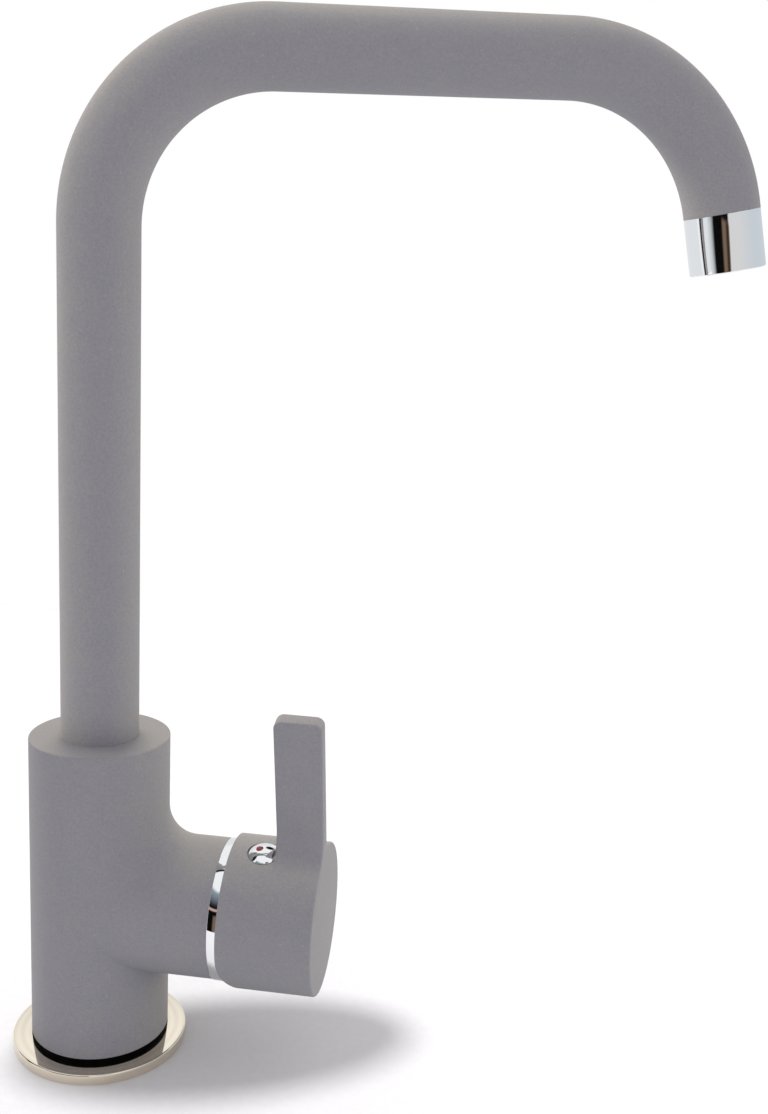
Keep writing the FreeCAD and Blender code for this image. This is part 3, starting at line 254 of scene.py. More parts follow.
screen_plastic, *_ = clouded_finish(
    "milky_polypropylene", 0.35, "#c9cbc8", 0.65, "#dcdddb",
    {"Roughness": 0.38, "Subsurface Weight": 0.15, "Subsurface Scale": 0.001},
    cloud_size=2.5, detail=3.0)

ceramic, tree, shader, place, pores = clouded_finish(
    "lapped_alumina", 0.28, "#d9d5c8", 0.45, "#f0ede4", {}, cloud_size=0.4, detail=2.0)
lapped = add_node(tree, "ShaderNodeMapRange", {"To Min": 0.1, "To Max": 0.28},
                  {"Value": pores.outputs["Fac"]})
tree.links.new(lapped.outputs["Result"], shader.inputs["Roughness"])

rubber, tree, shader, place, bloom = clouded_finish(
    "black_epdm_rubber", 0.45, "#010101", 0.75, "#080807",
    {"Roughness": 0.7, "Specular IOR Level": 0.03}, cloud_size=3.0, detail=5.0)
bump = add_node(tree, "ShaderNodeBump", {"Strength": 0.3, "Distance": 0.00004},
                {"Height": bloom.outputs["Fac"]})
tree.links.new(bump.outputs["Normal"], shader.inputs["Normal"])

red_enamel, *_ = clouded_finish(
    "red_enamel", 0.3, "#5c0612", 0.7, "#74091a",
    {"Roughness": 0.18, "Coat Weight": 0.1}, cloud_size=1.2, detail=1.0)
print("finishes so far:", len(bpy.data.materials))

# %% [markdown]
# Every CAD piece gets its finish here, so none is left in a default grey. The shapes that are
# modelled again below get the same ones.

# %% Give every piece of the frame its finish
finishes = {
    "faucet_body": granite, "spout_tube": granite, "lever_handle": granite,
    "base_ring": ring_plate, "base_seal": rubber, "deck_gasket": rubber,
    "spout_lock_screw": steel, "cartridge_base": acetal_grey, "cartridge_seals": rubber,
    "fixed_disc": ceramic, "cartridge_housing": acetal_white, "clamp_nut": brass,
    "dome_collar": chrome, "spout_ferrule": brass, "upper_glide_ring": acetal_white,
    "lower_glide_ring": acetal_white, "spout_o_rings": rubber, "outlet_bush": brass,
    "aerator_washer": rubber, "aerator_housing": chrome, "aerator_insert": acetal_grey,
    "aerator_screen": screen_plastic, "swivel_head": acetal_grey, "stem_pin": steel,
    "moving_disc": ceramic, "disc_carrier": acetal_white, "lever_stem": steel,
    "handle_set_screw": steel, "index_button": chrome, "index_dot": red_enamel,
}
for name, finish in finishes.items():
    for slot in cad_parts[name].material_slots:
        slot.material = finish
print("finishes given:", len(finishes))

# %% [markdown]
# ## The spout tube
# The spout is one straight brass tube, bent twice on a mandrel. A curve with a round bevel would
# give its shape too, but its ends and wall would be hard to control. Here the tube is drawn as
# the bender makes it: a circle is pushed up the riser, spun round the first bend, pushed along
# the gently rising run, and spun round the second bend. A wall is then grown inwards.

# %% Spout tube
turn, climb, lean = math.radians(20.1), math.radians(2.9), math.radians(12.7)
tube_radius, tube_wall, tube_foot = 13.8 * MM, 1.5 * MM, 112.4 * MM
riser, run_length, straight_end = 185.0 * MM, 103.1 * MM, 1.0 * MM
first_bend, second_bend = 60.6 * MM, 61.2 * MM
UP = Vector((0, 0, 1))
ahead = Vector((math.cos(turn), math.sin(turn), 0))
bend_axis = Vector((ahead.y, -ahead.x, 0))


def push(step):
    """Extrude what is selected in edit mode and move it by a step."""
    bpy.ops.mesh.extrude_region_move(TRANSFORM_OT_translate={"value": step})


def selected_middle(piece):
    """Middle of the points that are selected in edit mode."""
    piece.update_from_editmode()
    chosen = [point.co for point in piece.data.vertices if point.select]
    return sum(chosen, Vector()) / len(chosen)


def grow_wall(piece, thickness, offset, even=False):
    """Give an open sheet its wall: inwards at offset -1, outwards at 1, evened out or not."""
    bpy.ops.object.mode_set(mode="OBJECT")
    wall = piece.modifiers.new("wall", "SOLIDIFY")
    wall.thickness = thickness
    wall.offset = offset
    wall.use_even_offset = even
    bpy.ops.object.modifier_apply(modifier="wall")


bpy.ops.object.select_all(action="DESELECT")
bpy.ops.mesh.primitive_circle_add(vertices=96, radius=tube_radius, location=UP * tube_foot)
tube = bpy.context.object
tube.name = "coated_spout_tube"
bpy.ops.object.transform_apply()
bpy.ops.object.mode_set(mode="EDIT")
bpy.ops.mesh.select_all(action="SELECT")
push(UP * riser)
bpy.ops.mesh.spin(steps=44, angle=math.radians(90) - climb, axis=bend_axis,
                  center=ahead * first_bend + UP * (tube_foot + riser))
push((ahead * math.cos(climb) + UP * math.sin(climb)) * run_length)
inward = ahead * math.sin(climb) - UP * math.cos(climb)
bpy.ops.mesh.spin(steps=40, angle=math.radians(90) + climb - lean, axis=bend_axis,
                  center=selected_middle(tube) + inward * second_bend)
pour = ahead * math.sin(lean) - UP * math.cos(lean)
push(pour * straight_end)
outlet = selected_middle(tube)
bpy.ops.mesh.select_all(action="SELECT")
bpy.ops.mesh.normals_make_consistent(inside=False)
grow_wall(tube, tube_wall, -1.0)
bpy.ops.object.shade_smooth_by_angle(angle=math.radians(35))
tube.data.materials.append(granite)
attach(tube, "spout")
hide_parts("spout_tube")
print("tube ends at", [round(v / MM, 2) for v in outlet], "mm, faces", len(tube.data.polygons))

# %% [markdown]
# ## The outlet sleeve
# The aerator's sleeve is turned from bar and plated. It is modelled as it is turned: a solid
# round is bored from the tube's side, faced at the mouth, and its edges are broken. Mirrors show
# every facet, so the round has 128 sides and smooth shading, and only its real corners stay sharp.

# %% Chrome outlet sleeve
TINY = 0.001 * MM
sleeve_sides, sleeve_length, bore_depth = 128, 20.8 * MM, 18.8 * MM
bore_radius, mouth_radius = 11.5 * MM, 9.8 * MM


def choose(piece, test, kind="FACE"):
    """Select only the faces, edges or points that pass a test.

    The test gets a face, the places of an edge's two ends or the place of a point.
    """
    bpy.ops.object.mode_set(mode="OBJECT")
    data = piece.data
    for part in (data.vertices, data.edges, data.polygons):
        for element in part:
            element.select = False
    if kind == "FACE":
        for face in data.polygons:
            face.select = test(face)
    elif kind == "EDGE":
        for edge in data.edges:
            first, last = (data.vertices[i].co for i in edge.vertices)
            edge.select = test(first, last)
    else:
        for point in data.vertices:
            point.select = test(point.co)
    bpy.ops.object.mode_set(mode="EDIT")
    bpy.ops.mesh.select_mode(type=kind)


def put_in_place(piece, place):
    """Move a finished piece by a matrix and bake that into its mesh."""
    bpy.ops.object.mode_set(mode="OBJECT")
    piece.matrix_world = place
    bpy.ops.object.transform_apply()


def round_rim(piece, height, nearest, farthest, size, segments):
    """Round the edges at a height whose ends lie between two distances from the axis."""
    choose(piece, lambda *ends: all(abs(end.z - height) < TINY and
                                    nearest < end.xy.length < farthest for end in ends), "EDGE")
    bpy.ops.mesh.bevel(offset=size, segments=segments, affect="EDGES")


bpy.ops.object.select_all(action="DESELECT")
bpy.ops.mesh.primitive_cylinder_add(vertices=sleeve_sides, radius=tube_radius,
                                    depth=sleeve_length, location=UP * sleeve_length / 2)
sleeve = bpy.context.object
sleeve.name = "chrome_outlet_sleeve"
bpy.ops.object.transform_apply()
choose(sleeve, lambda face: face.normal.z < -0.9)
bpy.ops.mesh.inset(thickness=tube_radius - bore_radius)
push(UP * bore_depth)
choose(sleeve, lambda face: face.normal.z > 0.9)
bpy.ops.mesh.inset(thickness=tube_radius - mouth_radius)
choose(sleeve, lambda face: len(face.vertices) == sleeve_sides
       and abs(face.center.z - bore_depth) < TINY)
bpy.ops.mesh.inset(thickness=bore_radius - mouth_radius)
choose(sleeve, lambda face: len(face.vertices) == sleeve_sides)
bpy.ops.mesh.bridge_edge_loops()
round_rim(sleeve, sleeve_length, nearest=13 * MM, farthest=14 * MM, size=0.45 * MM,
          segments=4)
round_rim(sleeve, sleeve_length, nearest=0, farthest=10 * MM, size=0.3 * MM,
          segments=3)
round_rim(sleeve, 0, nearest=13 * MM, farthest=14 * MM, size=0.15 * MM,
          segments=2)
put_in_place(sleeve,
             Matrix.Translation(outlet) @ pour.to_track_quat("Z", "Y").to_matrix().to_4x4())
bpy.ops.object.shade_smooth_by_angle(angle=math.radians(40))
sleeve.data.materials.append(chrome)
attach(sleeve, "spout")
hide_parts("aerator_housing")
print("sleeve faces", len(sleeve.data.polygons))

# %% [markdown]
# ## The deck ring
# The ring hides the edge of the tap hole. It is a flat disc with a bore for the foot, a pocket
# underneath for the deck gasket, and a softly rounded upper rim, which is the line of light that
# the eye follows round the foot. Insets give the pocket and the bore in the order of a lathe.

# %% Deck ring
ring_sides, ring_radius, ring_height = 160, 31.8 * MM, 3.9 * MM
ring_bore, pocket_inner, pocket_outer, pocket_depth = 17.05 * MM, 19.8 * MM, 29.6 * MM, 1.5 * MM
bpy.ops.object.select_all(action="DESELECT")
bpy.ops.mesh.primitive_cylinder_add(vertices=ring_sides, radius=ring_radius, depth=ring_height,
                                    location=UP * ring_height / 2)
ring = bpy.context.object
ring.name = "plated_deck_ring"
bpy.ops.object.transform_apply()
choose(ring, lambda face: face.normal.z > 0.9)
bpy.ops.mesh.inset(thickness=ring_radius - ring_bore)
choose(ring, lambda face: face.normal.z < -0.9)
bpy.ops.mesh.inset(thickness=ring_radius - pocket_outer)
bpy.ops.mesh.inset(thickness=pocket_outer - pocket_inner)
bpy.ops.mesh.inset(thickness=pocket_inner - ring_bore)
choose(ring, lambda face: face.normal.z < -0.9
       and pocket_inner < face.center.xy.length < pocket_outer)
push(UP * pocket_depth)
choose(ring, lambda face: len(face.vertices) == ring_sides)
bpy.ops.mesh.bridge_edge_loops()
round_rim(ring, ring_height, nearest=31 * MM, farthest=32 * MM, size=0.55 * MM,
          segments=5)
round_rim(ring, 0, nearest=31 * MM, farthest=32 * MM, size=0.2 * MM,
          segments=2)
bpy.ops.object.mode_set(mode="OBJECT")
bpy.ops.object.shade_smooth_by_angle(angle=math.radians(40))
ring.data.materials.append(ring_plate)
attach(ring, "base")
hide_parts("base_ring")
print("ring faces", len(ring.data.polygons))

# %% [markdown]
# ## The wiper ring
# The spout turns in the body with 0.4 mm of air around it, which would show as a black line
# where the photograph shows none. A real faucet closes that gap with a thin silicone wiper, tinted
# to match the coating, which also keeps water out. A circle, drawn up and thickened, is enough.

# %% Silicone wiper ring
silicone, *_ = clouded_finish(
    "tinted_silicone", 0.35, "#86878a", 0.65, "#949494",
    {"Roughness": 0.6, "Subsurface Weight": 0.2, "Subsurface Scale": 0.0005},
    cloud_size=2.0, detail=2.0)
wiper_radius, wiper_foot, wiper_height, wiper_wall = 13.85 * MM, 116.5 * MM, 3.45 * MM, 0.3 * MM
bpy.ops.object.select_all(action="DESELECT")
bpy.ops.mesh.primitive_circle_add(vertices=128, radius=wiper_radius, location=UP * wiper_foot)
wiper = bpy.context.object
wiper.name = "silicone_wiper_ring"
bpy.ops.object.transform_apply()
bpy.ops.object.mode_set(mode="EDIT")
bpy.ops.mesh.select_all(action="SELECT")
push(UP * wiper_height)
bpy.ops.mesh.select_all(action="SELECT")
bpy.ops.mesh.normals_make_consistent(inside=False)
grow_wall(wiper, wiper_wall, 1.0)
bpy.ops.object.shade_smooth_by_angle(angle=math.radians(40))
wiper.data.materials.append(silicone)
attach(wiper, "base")
outermost = max(point.co.xy.length for point in wiper.data.vertices)
print("wiper runs out to", round(outermost / MM, 2), "mm")

# %% [markdown]
# ## The chrome collar
# Where the lever rocks, a chrome dome closes the gap, centred on the rocking axis so that the
# lever's cap glides round it. It starts as a ball: two cuts leave the zone that is needed, its
# back edge is drawn out into the band that clamps on the branch and turned in to a flange, and
# the thin shell gets its wall.

# %% Dome collar
axis_height = 57.5 * MM
pivot = Vector((45.0 * MM, 0, axis_height))
band_radius, dome_radius = 25.3 * MM, 26.0 * MM
band_end = pivot.x + math.sqrt(dome_radius ** 2 - band_radius ** 2)
mouth = pivot.x + dome_radius * math.cos(math.radians(50))
flange_face, flange_radius, collar_wall = 47.5 * MM, 18.2 * MM, 1.5 * MM
OUT = Vector((1, 0, 0))
bpy.ops.object.select_all(action="DESELECT")
bpy.ops.mesh.primitive_uv_sphere_add(segments=144, ring_count=72, radius=dome_radius,
                                     location=pivot, rotation=(0, math.radians(90), 0))
collar = bpy.context.object
collar.name = "chrome_dome_collar"
bpy.ops.object.transform_apply()
bpy.ops.object.mode_set(mode="EDIT")
bpy.ops.mesh.select_all(action="SELECT")
bpy.ops.mesh.bisect(plane_co=OUT * band_end, plane_no=OUT, clear_inner=True, threshold=TINY)
bpy.ops.mesh.select_all(action="SELECT")
bpy.ops.mesh.bisect(plane_co=OUT * mouth, plane_no=OUT, clear_outer=True, threshold=TINY)
choose(collar, lambda *ends: all(abs(end.x - band_end) < 10 * TINY for end in ends), "EDGE")
push(OUT * (flange_face - band_end))
bpy.ops.mesh.extrude_region_move()
shrink = flange_radius / band_radius
bpy.ops.transform.resize(value=(1.0, shrink, shrink), center_override=pivot)
grow_wall(collar, collar_wall, -1.0, even=True)
choose(collar, lambda *ends: all(abs(end.x - flange_face) < TINY and
                                 (end - pivot).yz.length > 25 * MM for end in ends), "EDGE")
bpy.ops.mesh.bevel(offset=0.2 * MM, segments=3, affect="EDGES")
bpy.ops.object.mode_set(mode="OBJECT")
bpy.ops.object.shade_smooth_by_angle(angle=math.radians(40))
collar.data.materials.append(chrome)
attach(collar, "base")
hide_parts("dome_collar")
print("collar faces", len(collar.data.polygons))

# %% [markdown]
# ## The index button
# A domed chrome button closes the hole of the set screw and carries a red dot for hot. The dome
# is a slice of a ball with a straight rim and a plug below. The dot is a drop of enamel in a
# bored seat, so a round cutter takes the seat out of the dome and the drop is laid in it.

# %% Index button and its red dot
tilt = math.radians(14.0)
button_place = Matrix.Translation((63.0 * MM, 0, axis_height)) @ Matrix.Rotation(tilt, 4, "X")
ball_radius, button_radius, rim = 9.0 * MM, 5.75 * MM, 26.7 * MM
rim_depth, plug_step, plug_length = 0.5 * MM, 3.2 * MM, 1.3 * MM
dome_middle = rim - math.sqrt(ball_radius ** 2 - button_radius ** 2)
dome_top = dome_middle + ball_radius
dot_side, seat_depth, dot_height = -1.5 * MM, 1.0 * MM, 0.85 * MM


def at_rim(first, last):
    """Whether an edge lies in the plane of the button's rim."""
    return max(abs(first.z - rim), abs(last.z - rim)) < 10 * TINY


def cut_away(piece, cutter):
    """Take a cutter's shape out of a piece and remove the cutter."""
    bpy.ops.object.mode_set(mode="OBJECT")
    bpy.ops.object.select_all(action="DESELECT")
    bpy.context.view_layer.objects.active = piece
    piece.select_set(True)
    cut = piece.modifiers.new("cut", "BOOLEAN")
    cut.operation = "DIFFERENCE"
    cut.object = cutter
    bpy.ops.object.modifier_apply(modifier="cut")
    bpy.data.objects.remove(cutter)


bpy.ops.object.select_all(action="DESELECT")
bpy.ops.mesh.primitive_uv_sphere_add(segments=96, ring_count=128, radius=ball_radius,
                                     location=UP * dome_middle)
button = bpy.context.object
button.name = "chrome_index_button"
bpy.ops.object.transform_apply()
bpy.ops.object.mode_set(mode="EDIT")
bpy.ops.mesh.select_all(action="SELECT")
bpy.ops.mesh.bisect(plane_co=UP * rim, plane_no=UP, clear_inner=True, threshold=TINY)
choose(button, at_rim, "EDGE")
push(UP * -rim_depth)
bpy.ops.mesh.edge_face_add()
bpy.ops.mesh.inset(thickness=plug_step)
push(UP * -plug_length)
choose(button, at_rim, "EDGE")
bpy.ops.mesh.bevel(offset=0.15 * MM, segments=3, affect="EDGES")
bpy.ops.mesh.select_all(action="SELECT")
bpy.ops.mesh.normals_make_consistent(inside=False)
bpy.ops.object.mode_set(mode="OBJECT")
bpy.ops.object.select_all(action="DESELECT")
bpy.ops.mesh.primitive_cylinder_add(vertices=48, radius=1.3 * MM, depth=2 * seat_depth,
                                    location=(dot_side, 0, dome_top))
cut_away(button, bpy.context.object)
bpy.ops.object.mode_set(mode="EDIT")
bpy.ops.mesh.select_all(action="SELECT")
bpy.ops.mesh.remove_doubles(threshold=TINY)
put_in_place(button, button_place)
bpy.ops.object.shade_smooth_by_angle(angle=math.radians(35))
button.data.materials.append(chrome)
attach(button, "lever")
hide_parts("index_button")

bpy.ops.object.select_all(action="DESELECT")
bpy.ops.mesh.primitive_cylinder_add(
    vertices=48, radius=1.25 * MM, depth=dot_height,
    location=(dot_side, 0, dome_top - seat_depth + dot_height / 2))
dot = bpy.context.object
dot.name = "red_enamel_dot"
bpy.ops.object.transform_apply()
choose(dot, lambda face: face.normal.z > 0.9)
for swell in (0.09 * MM, 0.04 * MM):
    bpy.ops.mesh.inset(thickness=0.35 * MM)
    bpy.ops.transform.translate(value=UP * swell)
put_in_place(dot, button_place)
bpy.ops.object.shade_smooth_by_angle(angle=math.radians(50))
dot.data.materials.append(red_enamel)
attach(dot, "lever")
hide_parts("index_dot")
print("button faces", len(button.data.polygons), "dot faces", len(dot.data.polygons))

# %% [markdown]
# ## The lever
# The lever is one die casting: a hollow cap that rocks over the dome, and a flat paddle that
# grows out of the cap's rim. Seen along its axis the outline is a circle that flows into two
# parallel lines, through a wide curve in front and a tight one behind. So it is drawn as a
# pattern maker would: one point is spun round the cap, then another is led up, over and down the
# paddle, and the outline is pushed through. The corners are rounded last.

# %% Lever outline
cap_radius, front_blend, back_blend = 27.1 * MM, 13.0 * MM, 2.5 * MM
cap_rear, shelf, cap_face = 51.0 * MM, 67.7 * MM, 84.6 * MM
paddle_front, paddle_back = -0.1 * MM, 6.1 * MM
paddle_top = axis_height + 82.3 * MM
arc_low = axis_height + 25.6 * MM
front_centre = Vector((shelf, paddle_front - front_blend, 0))
front_centre.z = axis_height + math.sqrt((cap_radius + front_blend) ** 2 - front_centre.y ** 2)
back_centre = Vector((shelf, paddle_back + back_blend, 0))
back_centre.z = axis_height + math.sqrt((cap_radius + back_blend) ** 2 - back_centre.y ** 2)
front_touch = math.atan2(-front_centre.y, front_centre.z - axis_height)
back_touch = math.atan2(back_centre.y, back_centre.z - axis_height)
touch = Vector((cap_rear, -cap_radius * math.sin(front_touch),
                axis_height + cap_radius * math.cos(front_touch)))


def off_axis(point):
    """Distance of a point from the lever's axis."""
    return math.hypot(point.y, point.z - axis_height)


def in_plane(first, last, x):
    """Whether an edge lies in the plane across the lever's axis at x."""
    return abs(first.x - x) < TINY and abs(last.x - x) < TINY


def under_paddle(first, last):
    """Whether an edge of the cap's circle lies between the two blends, where it is highest."""
    return min(first.z, last.z) > arc_low


def start_point(place):
    """Object with a single point in edit mode, to be spun and pushed."""
    bpy.ops.object.select_all(action="DESELECT")
    bpy.ops.mesh.primitive_plane_add(size=1.0 * MM, location=place)
    bpy.ops.object.transform_apply()
    bpy.ops.object.mode_set(mode="EDIT")
    bpy.ops.mesh.select_mode(type="VERT")
    bpy.ops.mesh.select_all(action="SELECT")
    bpy.ops.mesh.merge(type="CENTER")
    return bpy.context.object


lever = start_point(touch)
lever.name = "coated_lever_handle"
for steps, angle in ((108, 2 * math.pi - front_touch - back_touch), (12, front_touch + back_touch)):
    bpy.ops.mesh.spin(steps=steps, angle=angle, axis=-OUT, center=(cap_rear, 0, axis_height))
bpy.ops.mesh.select_all(action="SELECT")
bpy.ops.mesh.remove_doubles(threshold=TINY)
push(OUT * (shelf - cap_rear))
choose(lever, lambda first, last: in_plane(first, last, shelf)
       and not under_paddle(first, last), "EDGE")
push(OUT * (cap_face - shelf))
print("blends leave the cap at", round(math.degrees(front_touch), 1), "and",
      round(math.degrees(back_touch), 1), "degrees")

# %% [markdown]
# From where the front blend leaves the cap, a point is led round that blend, up the paddle's
# face, over its top, down its back and round the tight blend. The ends are then closed.

# %% Paddle
touch.x = shelf
cap_limit = cap_radius + 0.005 * MM
choose(lever, lambda point: (point - touch).length < TINY, "VERT")
bpy.ops.mesh.spin(steps=18, angle=math.pi / 2 - front_touch, axis=-OUT, center=front_centre)
push(UP * (paddle_top - front_centre.z))
push((0, paddle_back - paddle_front, 0))
push(UP * (back_centre.z - paddle_top))
bpy.ops.mesh.spin(steps=10, angle=math.pi / 2 - back_touch, axis=-OUT, center=back_centre)
bpy.ops.mesh.select_all(action="SELECT")
bpy.ops.mesh.remove_doubles(threshold=2 * TINY)
choose(lever, lambda first, last: in_plane(first, last, shelf)
       and max(off_axis(first), off_axis(last)) > cap_limit, "EDGE")
push(OUT * (cap_face - shelf))
bpy.ops.mesh.select_all(action="SELECT")
bpy.ops.mesh.remove_doubles(threshold=2 * TINY)
choose(lever, lambda first, last: in_plane(first, last, cap_face), "EDGE")
bpy.ops.mesh.edge_face_add()
choose(lever, lambda first, last: in_plane(first, last, shelf)
       and (max(off_axis(first), off_axis(last)) > cap_limit
            or under_paddle(first, last)), "EDGE")
bpy.ops.mesh.edge_face_add()
print("lever faces before its rounds", len(lever.data.polygons))
bpy.ops.object.mode_set(mode="OBJECT")

# %% [markdown]
# The paddle's two upper corners get their 3 mm round first, then every edge that a finger meets
# gets a round of just under a millimetre, because spray can't cover a sharp edge. The root, where
# the inner edge dies into the cap, is left out of that, as it has no width left to round.

# %% Rounds of the lever
choose(lever, lambda first, last: min(first.z, last.z) > paddle_top - 10 * TINY
       and abs(first.x - last.x) < TINY, "EDGE")
bpy.ops.mesh.bevel(offset=3.0 * MM, segments=10, affect="EDGES")
choose(lever, lambda first, last: False, "EDGE")
bpy.ops.mesh.edges_select_sharp(sharpness=math.radians(50))
bpy.ops.object.mode_set(mode="OBJECT")
rounded, root_limit = 0, cap_radius + 1.2 * MM
for edge in lever.data.edges:
    first, last = (lever.data.vertices[i].co for i in edge.vertices)
    at_rear = in_plane(first, last, cap_rear)
    at_root = in_plane(first, last, shelf) and min(off_axis(first), off_axis(last)) < root_limit
    edge.select = edge.select and not at_rear and not at_root
    rounded += edge.select
bpy.ops.object.mode_set(mode="EDIT")
bpy.ops.mesh.bevel(offset=0.9 * MM, segments=4, affect="EDGES", clamp_overlap=False)
print("rounded edges", rounded)

# %% [markdown]
# The cap is hollow, because the chrome dome and the stem are inside it. The rear opening is
# filled and then turned in steps, as a boring bar would: mouth, chamber, and the boss in the
# middle that grips the stem. Cutters take out what a mill does: the square socket of the stem,
# the slanted relief that lets the lever rock back, and the hole and the seat of the button.

# %% Inside of the lever
mouth_step, chamber_step, boss_step = (1.3, 3.6), (1.2, 26.0), (16.1, -21.1)  # inwards, deep
choose(lever, lambda first, last: in_plane(first, last, cap_rear), "EDGE")
bpy.ops.mesh.edge_face_add()
for inward_step, depth_step in (mouth_step, chamber_step, boss_step):
    bpy.ops.mesh.inset(thickness=inward_step * MM)
    push(OUT * depth_step * MM)
bpy.ops.mesh.select_all(action="SELECT")
bpy.ops.mesh.normals_make_consistent(inside=False)
bpy.ops.object.mode_set(mode="OBJECT")

socket = Vector((66.5 * MM, 0, axis_height))
screw_hole = Vector((63.0 * MM, 0, axis_height + 15.9 * MM))
button_seat = Vector((63.0 * MM, 0, axis_height + 28.2 * MM))
bpy.ops.object.select_all(action="DESELECT")
bpy.ops.mesh.primitive_cube_add(size=1.0 * MM, location=socket, scale=(18.8, 8.2, 8.2))
cut_away(lever, bpy.context.object)
for middle, sides, radius, depth in ((screw_hole, 48, 2.6 * MM, 24.0 * MM),
                                     (button_seat, 96, 5.95 * MM, 4.0 * MM)):
    bpy.ops.mesh.primitive_cylinder_add(vertices=sides, radius=radius, depth=depth,
                                        location=middle)
    cut_away(lever, bpy.context.object)
print("lever faces with its inside", len(lever.data.polygons))

# %% [markdown]
# Lifting the lever swings the low rear edge of the cap toward the branch, so a wedge is taken off
# there. Its outline is an arc of the lever's 24 degrees of lift and then a straight slant.

# %% Rocking relief
lift, swing_radius, swing_height = math.radians(24), 30.0 * MM, axis_height + 0.03 * MM
slant_end = Vector((60.69 * MM, 0, axis_height - 28.1 * MM))
behind_cap, half_width = 50.0 * MM, 30.0 * MM
relief = start_point((cap_rear, 0, swing_height))
bpy.ops.mesh.spin(steps=12, angle=lift, axis=(0, 1, 0),
                  center=(cap_rear + swing_radius, 0, swing_height))
slant_start = selected_middle(relief)
push(slant_end - slant_start)
push(OUT * (behind_cap - slant_end.x))
push(UP * (swing_height - slant_end.z))
bpy.ops.mesh.select_all(action="SELECT")
bpy.ops.mesh.edge_face_add()
bpy.ops.transform.translate(value=(0, -half_width, 0))
push((0, 2 * half_width, 0))
bpy.ops.mesh.select_all(action="SELECT")
bpy.ops.mesh.normals_make_consistent(inside=False)
print("relief slants from", [round(v / MM, 2) for v in slant_start],
      "to", [round(v / MM, 2) for v in slant_end])
cut_away(lever, relief)

# %% [markdown]
# The lever was drawn upright. It is rolled about the branch's axis to where the photograph shows
# it, and it rides on its own body, so it moves at the poses.

# %% Place the lever
branch = Matrix.Translation(UP * axis_height)
put_in_place(lever, branch @ Matrix.Rotation(tilt, 4, "X") @ branch.inverted())
bpy.ops.object.shade_smooth_by_angle(angle=math.radians(32))
lever.data.materials.append(granite)
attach(lever, "lever")
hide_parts("lever_handle")
print("lever faces", len(lever.data.polygons))

# %% [markdown]
# ## The studio
# The photograph is a bright product shot: floor and wall burn out to white, and the coating is
# lit almost evenly from every side, also from below, with a little more light on its tops and
# its side edges. A brightly lit pale floor under an even sky does that, because both then send
# back the same light. The grey oval to the right of the foot is softer and rounder than the
# shadow that any lamp drops there, so it is made as in a studio, with a flag: a black oval card
# hung in the beam of a lamp. Light linking lets that lamp reach only the floor and be shaded only
# by the flag, and the card itself is hidden from the camera and from the mirrors. The faucet's
# own lamps stand behind it and at its sides, with one more for the tube, from above on the left.

# %% Floor
bpy.ops.object.mode_set(mode="OBJECT")
bpy.ops.object.select_all(action="DESELECT")
bpy.ops.mesh.primitive_plane_add(size=1.0, location=(0.2, 0.15, 0))
floor = bpy.context.object
floor.name = "studio_floor"
floor.dimensions = (1.1, 0.9, 0)
bpy.ops.object.transform_apply()
paper, *_ = clouded_finish(
    "white_paper_sweep", 0.3, "#c7c7c7", 0.7, "#cacaca",
    {"Roughness": 0.9, "Specular IOR Level": 0.1}, cloud_size=3.0, detail=2.0)
floor.data.materials.append(paper)
print("floor spans", [round(v, 2) for v in floor.dimensions], "m")

# %% [markdown]
# The card is an oval that is turned as the spout is. It hangs 1.5 m up in the beam, where the
# lamp's 0.7 degrees make the edge of its shadow as soft as the photograph's.

# %% Flag
beam = Vector((-0.40, 0.0, 1.0))
shadow_middle = Vector((45.9, 0.4, 0)) * MM
flag_height = 1.5
flag_length, flag_width = 148.0 * MM, 63.0 * MM
bpy.ops.object.select_all(action="DESELECT")
bpy.ops.mesh.primitive_circle_add(vertices=96, radius=0.5, fill_type="NGON",
                                  rotation=(0, 0, turn),
                                  location=shadow_middle + beam * flag_height)
flag = bpy.context.object
flag.name = "studio_flag"
flag.dimensions = (flag_length, flag_width, 0)
bpy.ops.object.transform_apply()
flag.visible_camera = flag.visible_diffuse = False
flag.visible_glossy = flag.visible_transmission = False
print("flag spans", [round(v, 3) for v in flag.dimensions], "m")

# %% [markdown]
# Each lamp is a sun, set by where its light comes from, and names the pieces that it lights and
# those that can shade it. The tube shades the top of the body in front of itself. The lever
# shades nothing, because the photograph shows no shadow of it.

# %% Lamps


def soft_sun(name, source, strength, spread, colour, lights, shaded_by):
    """Sun lamp with a spread in degrees that shines on some pieces and is shaded by some."""
    light = bpy.data.lights.new(name, "SUN")
    light.energy = strength
    light.angle = math.radians(spread)
    light.color = linear(colour)[:3]
    lamp = bpy.data.objects.new(name, light)
    bpy.context.scene.collection.objects.link(lamp)
    lamp.rotation_euler = Vector(source).to_track_quat("Z", "Y").to_euler()
    lamp.visible_glossy = False
    lamp.light_linking.receiver_collection = lights
    lamp.light_linking.blocker_collection = shaded_by


def linked(name, pieces, state):
    """Collection for light linking that takes its pieces in or leaves them out."""
    group = bpy.data.collections.new(name)
    for piece in pieces:
        group.objects.link(piece)
    for member in group.collection_objects:
        member.light_linking.link_state = state
    return group


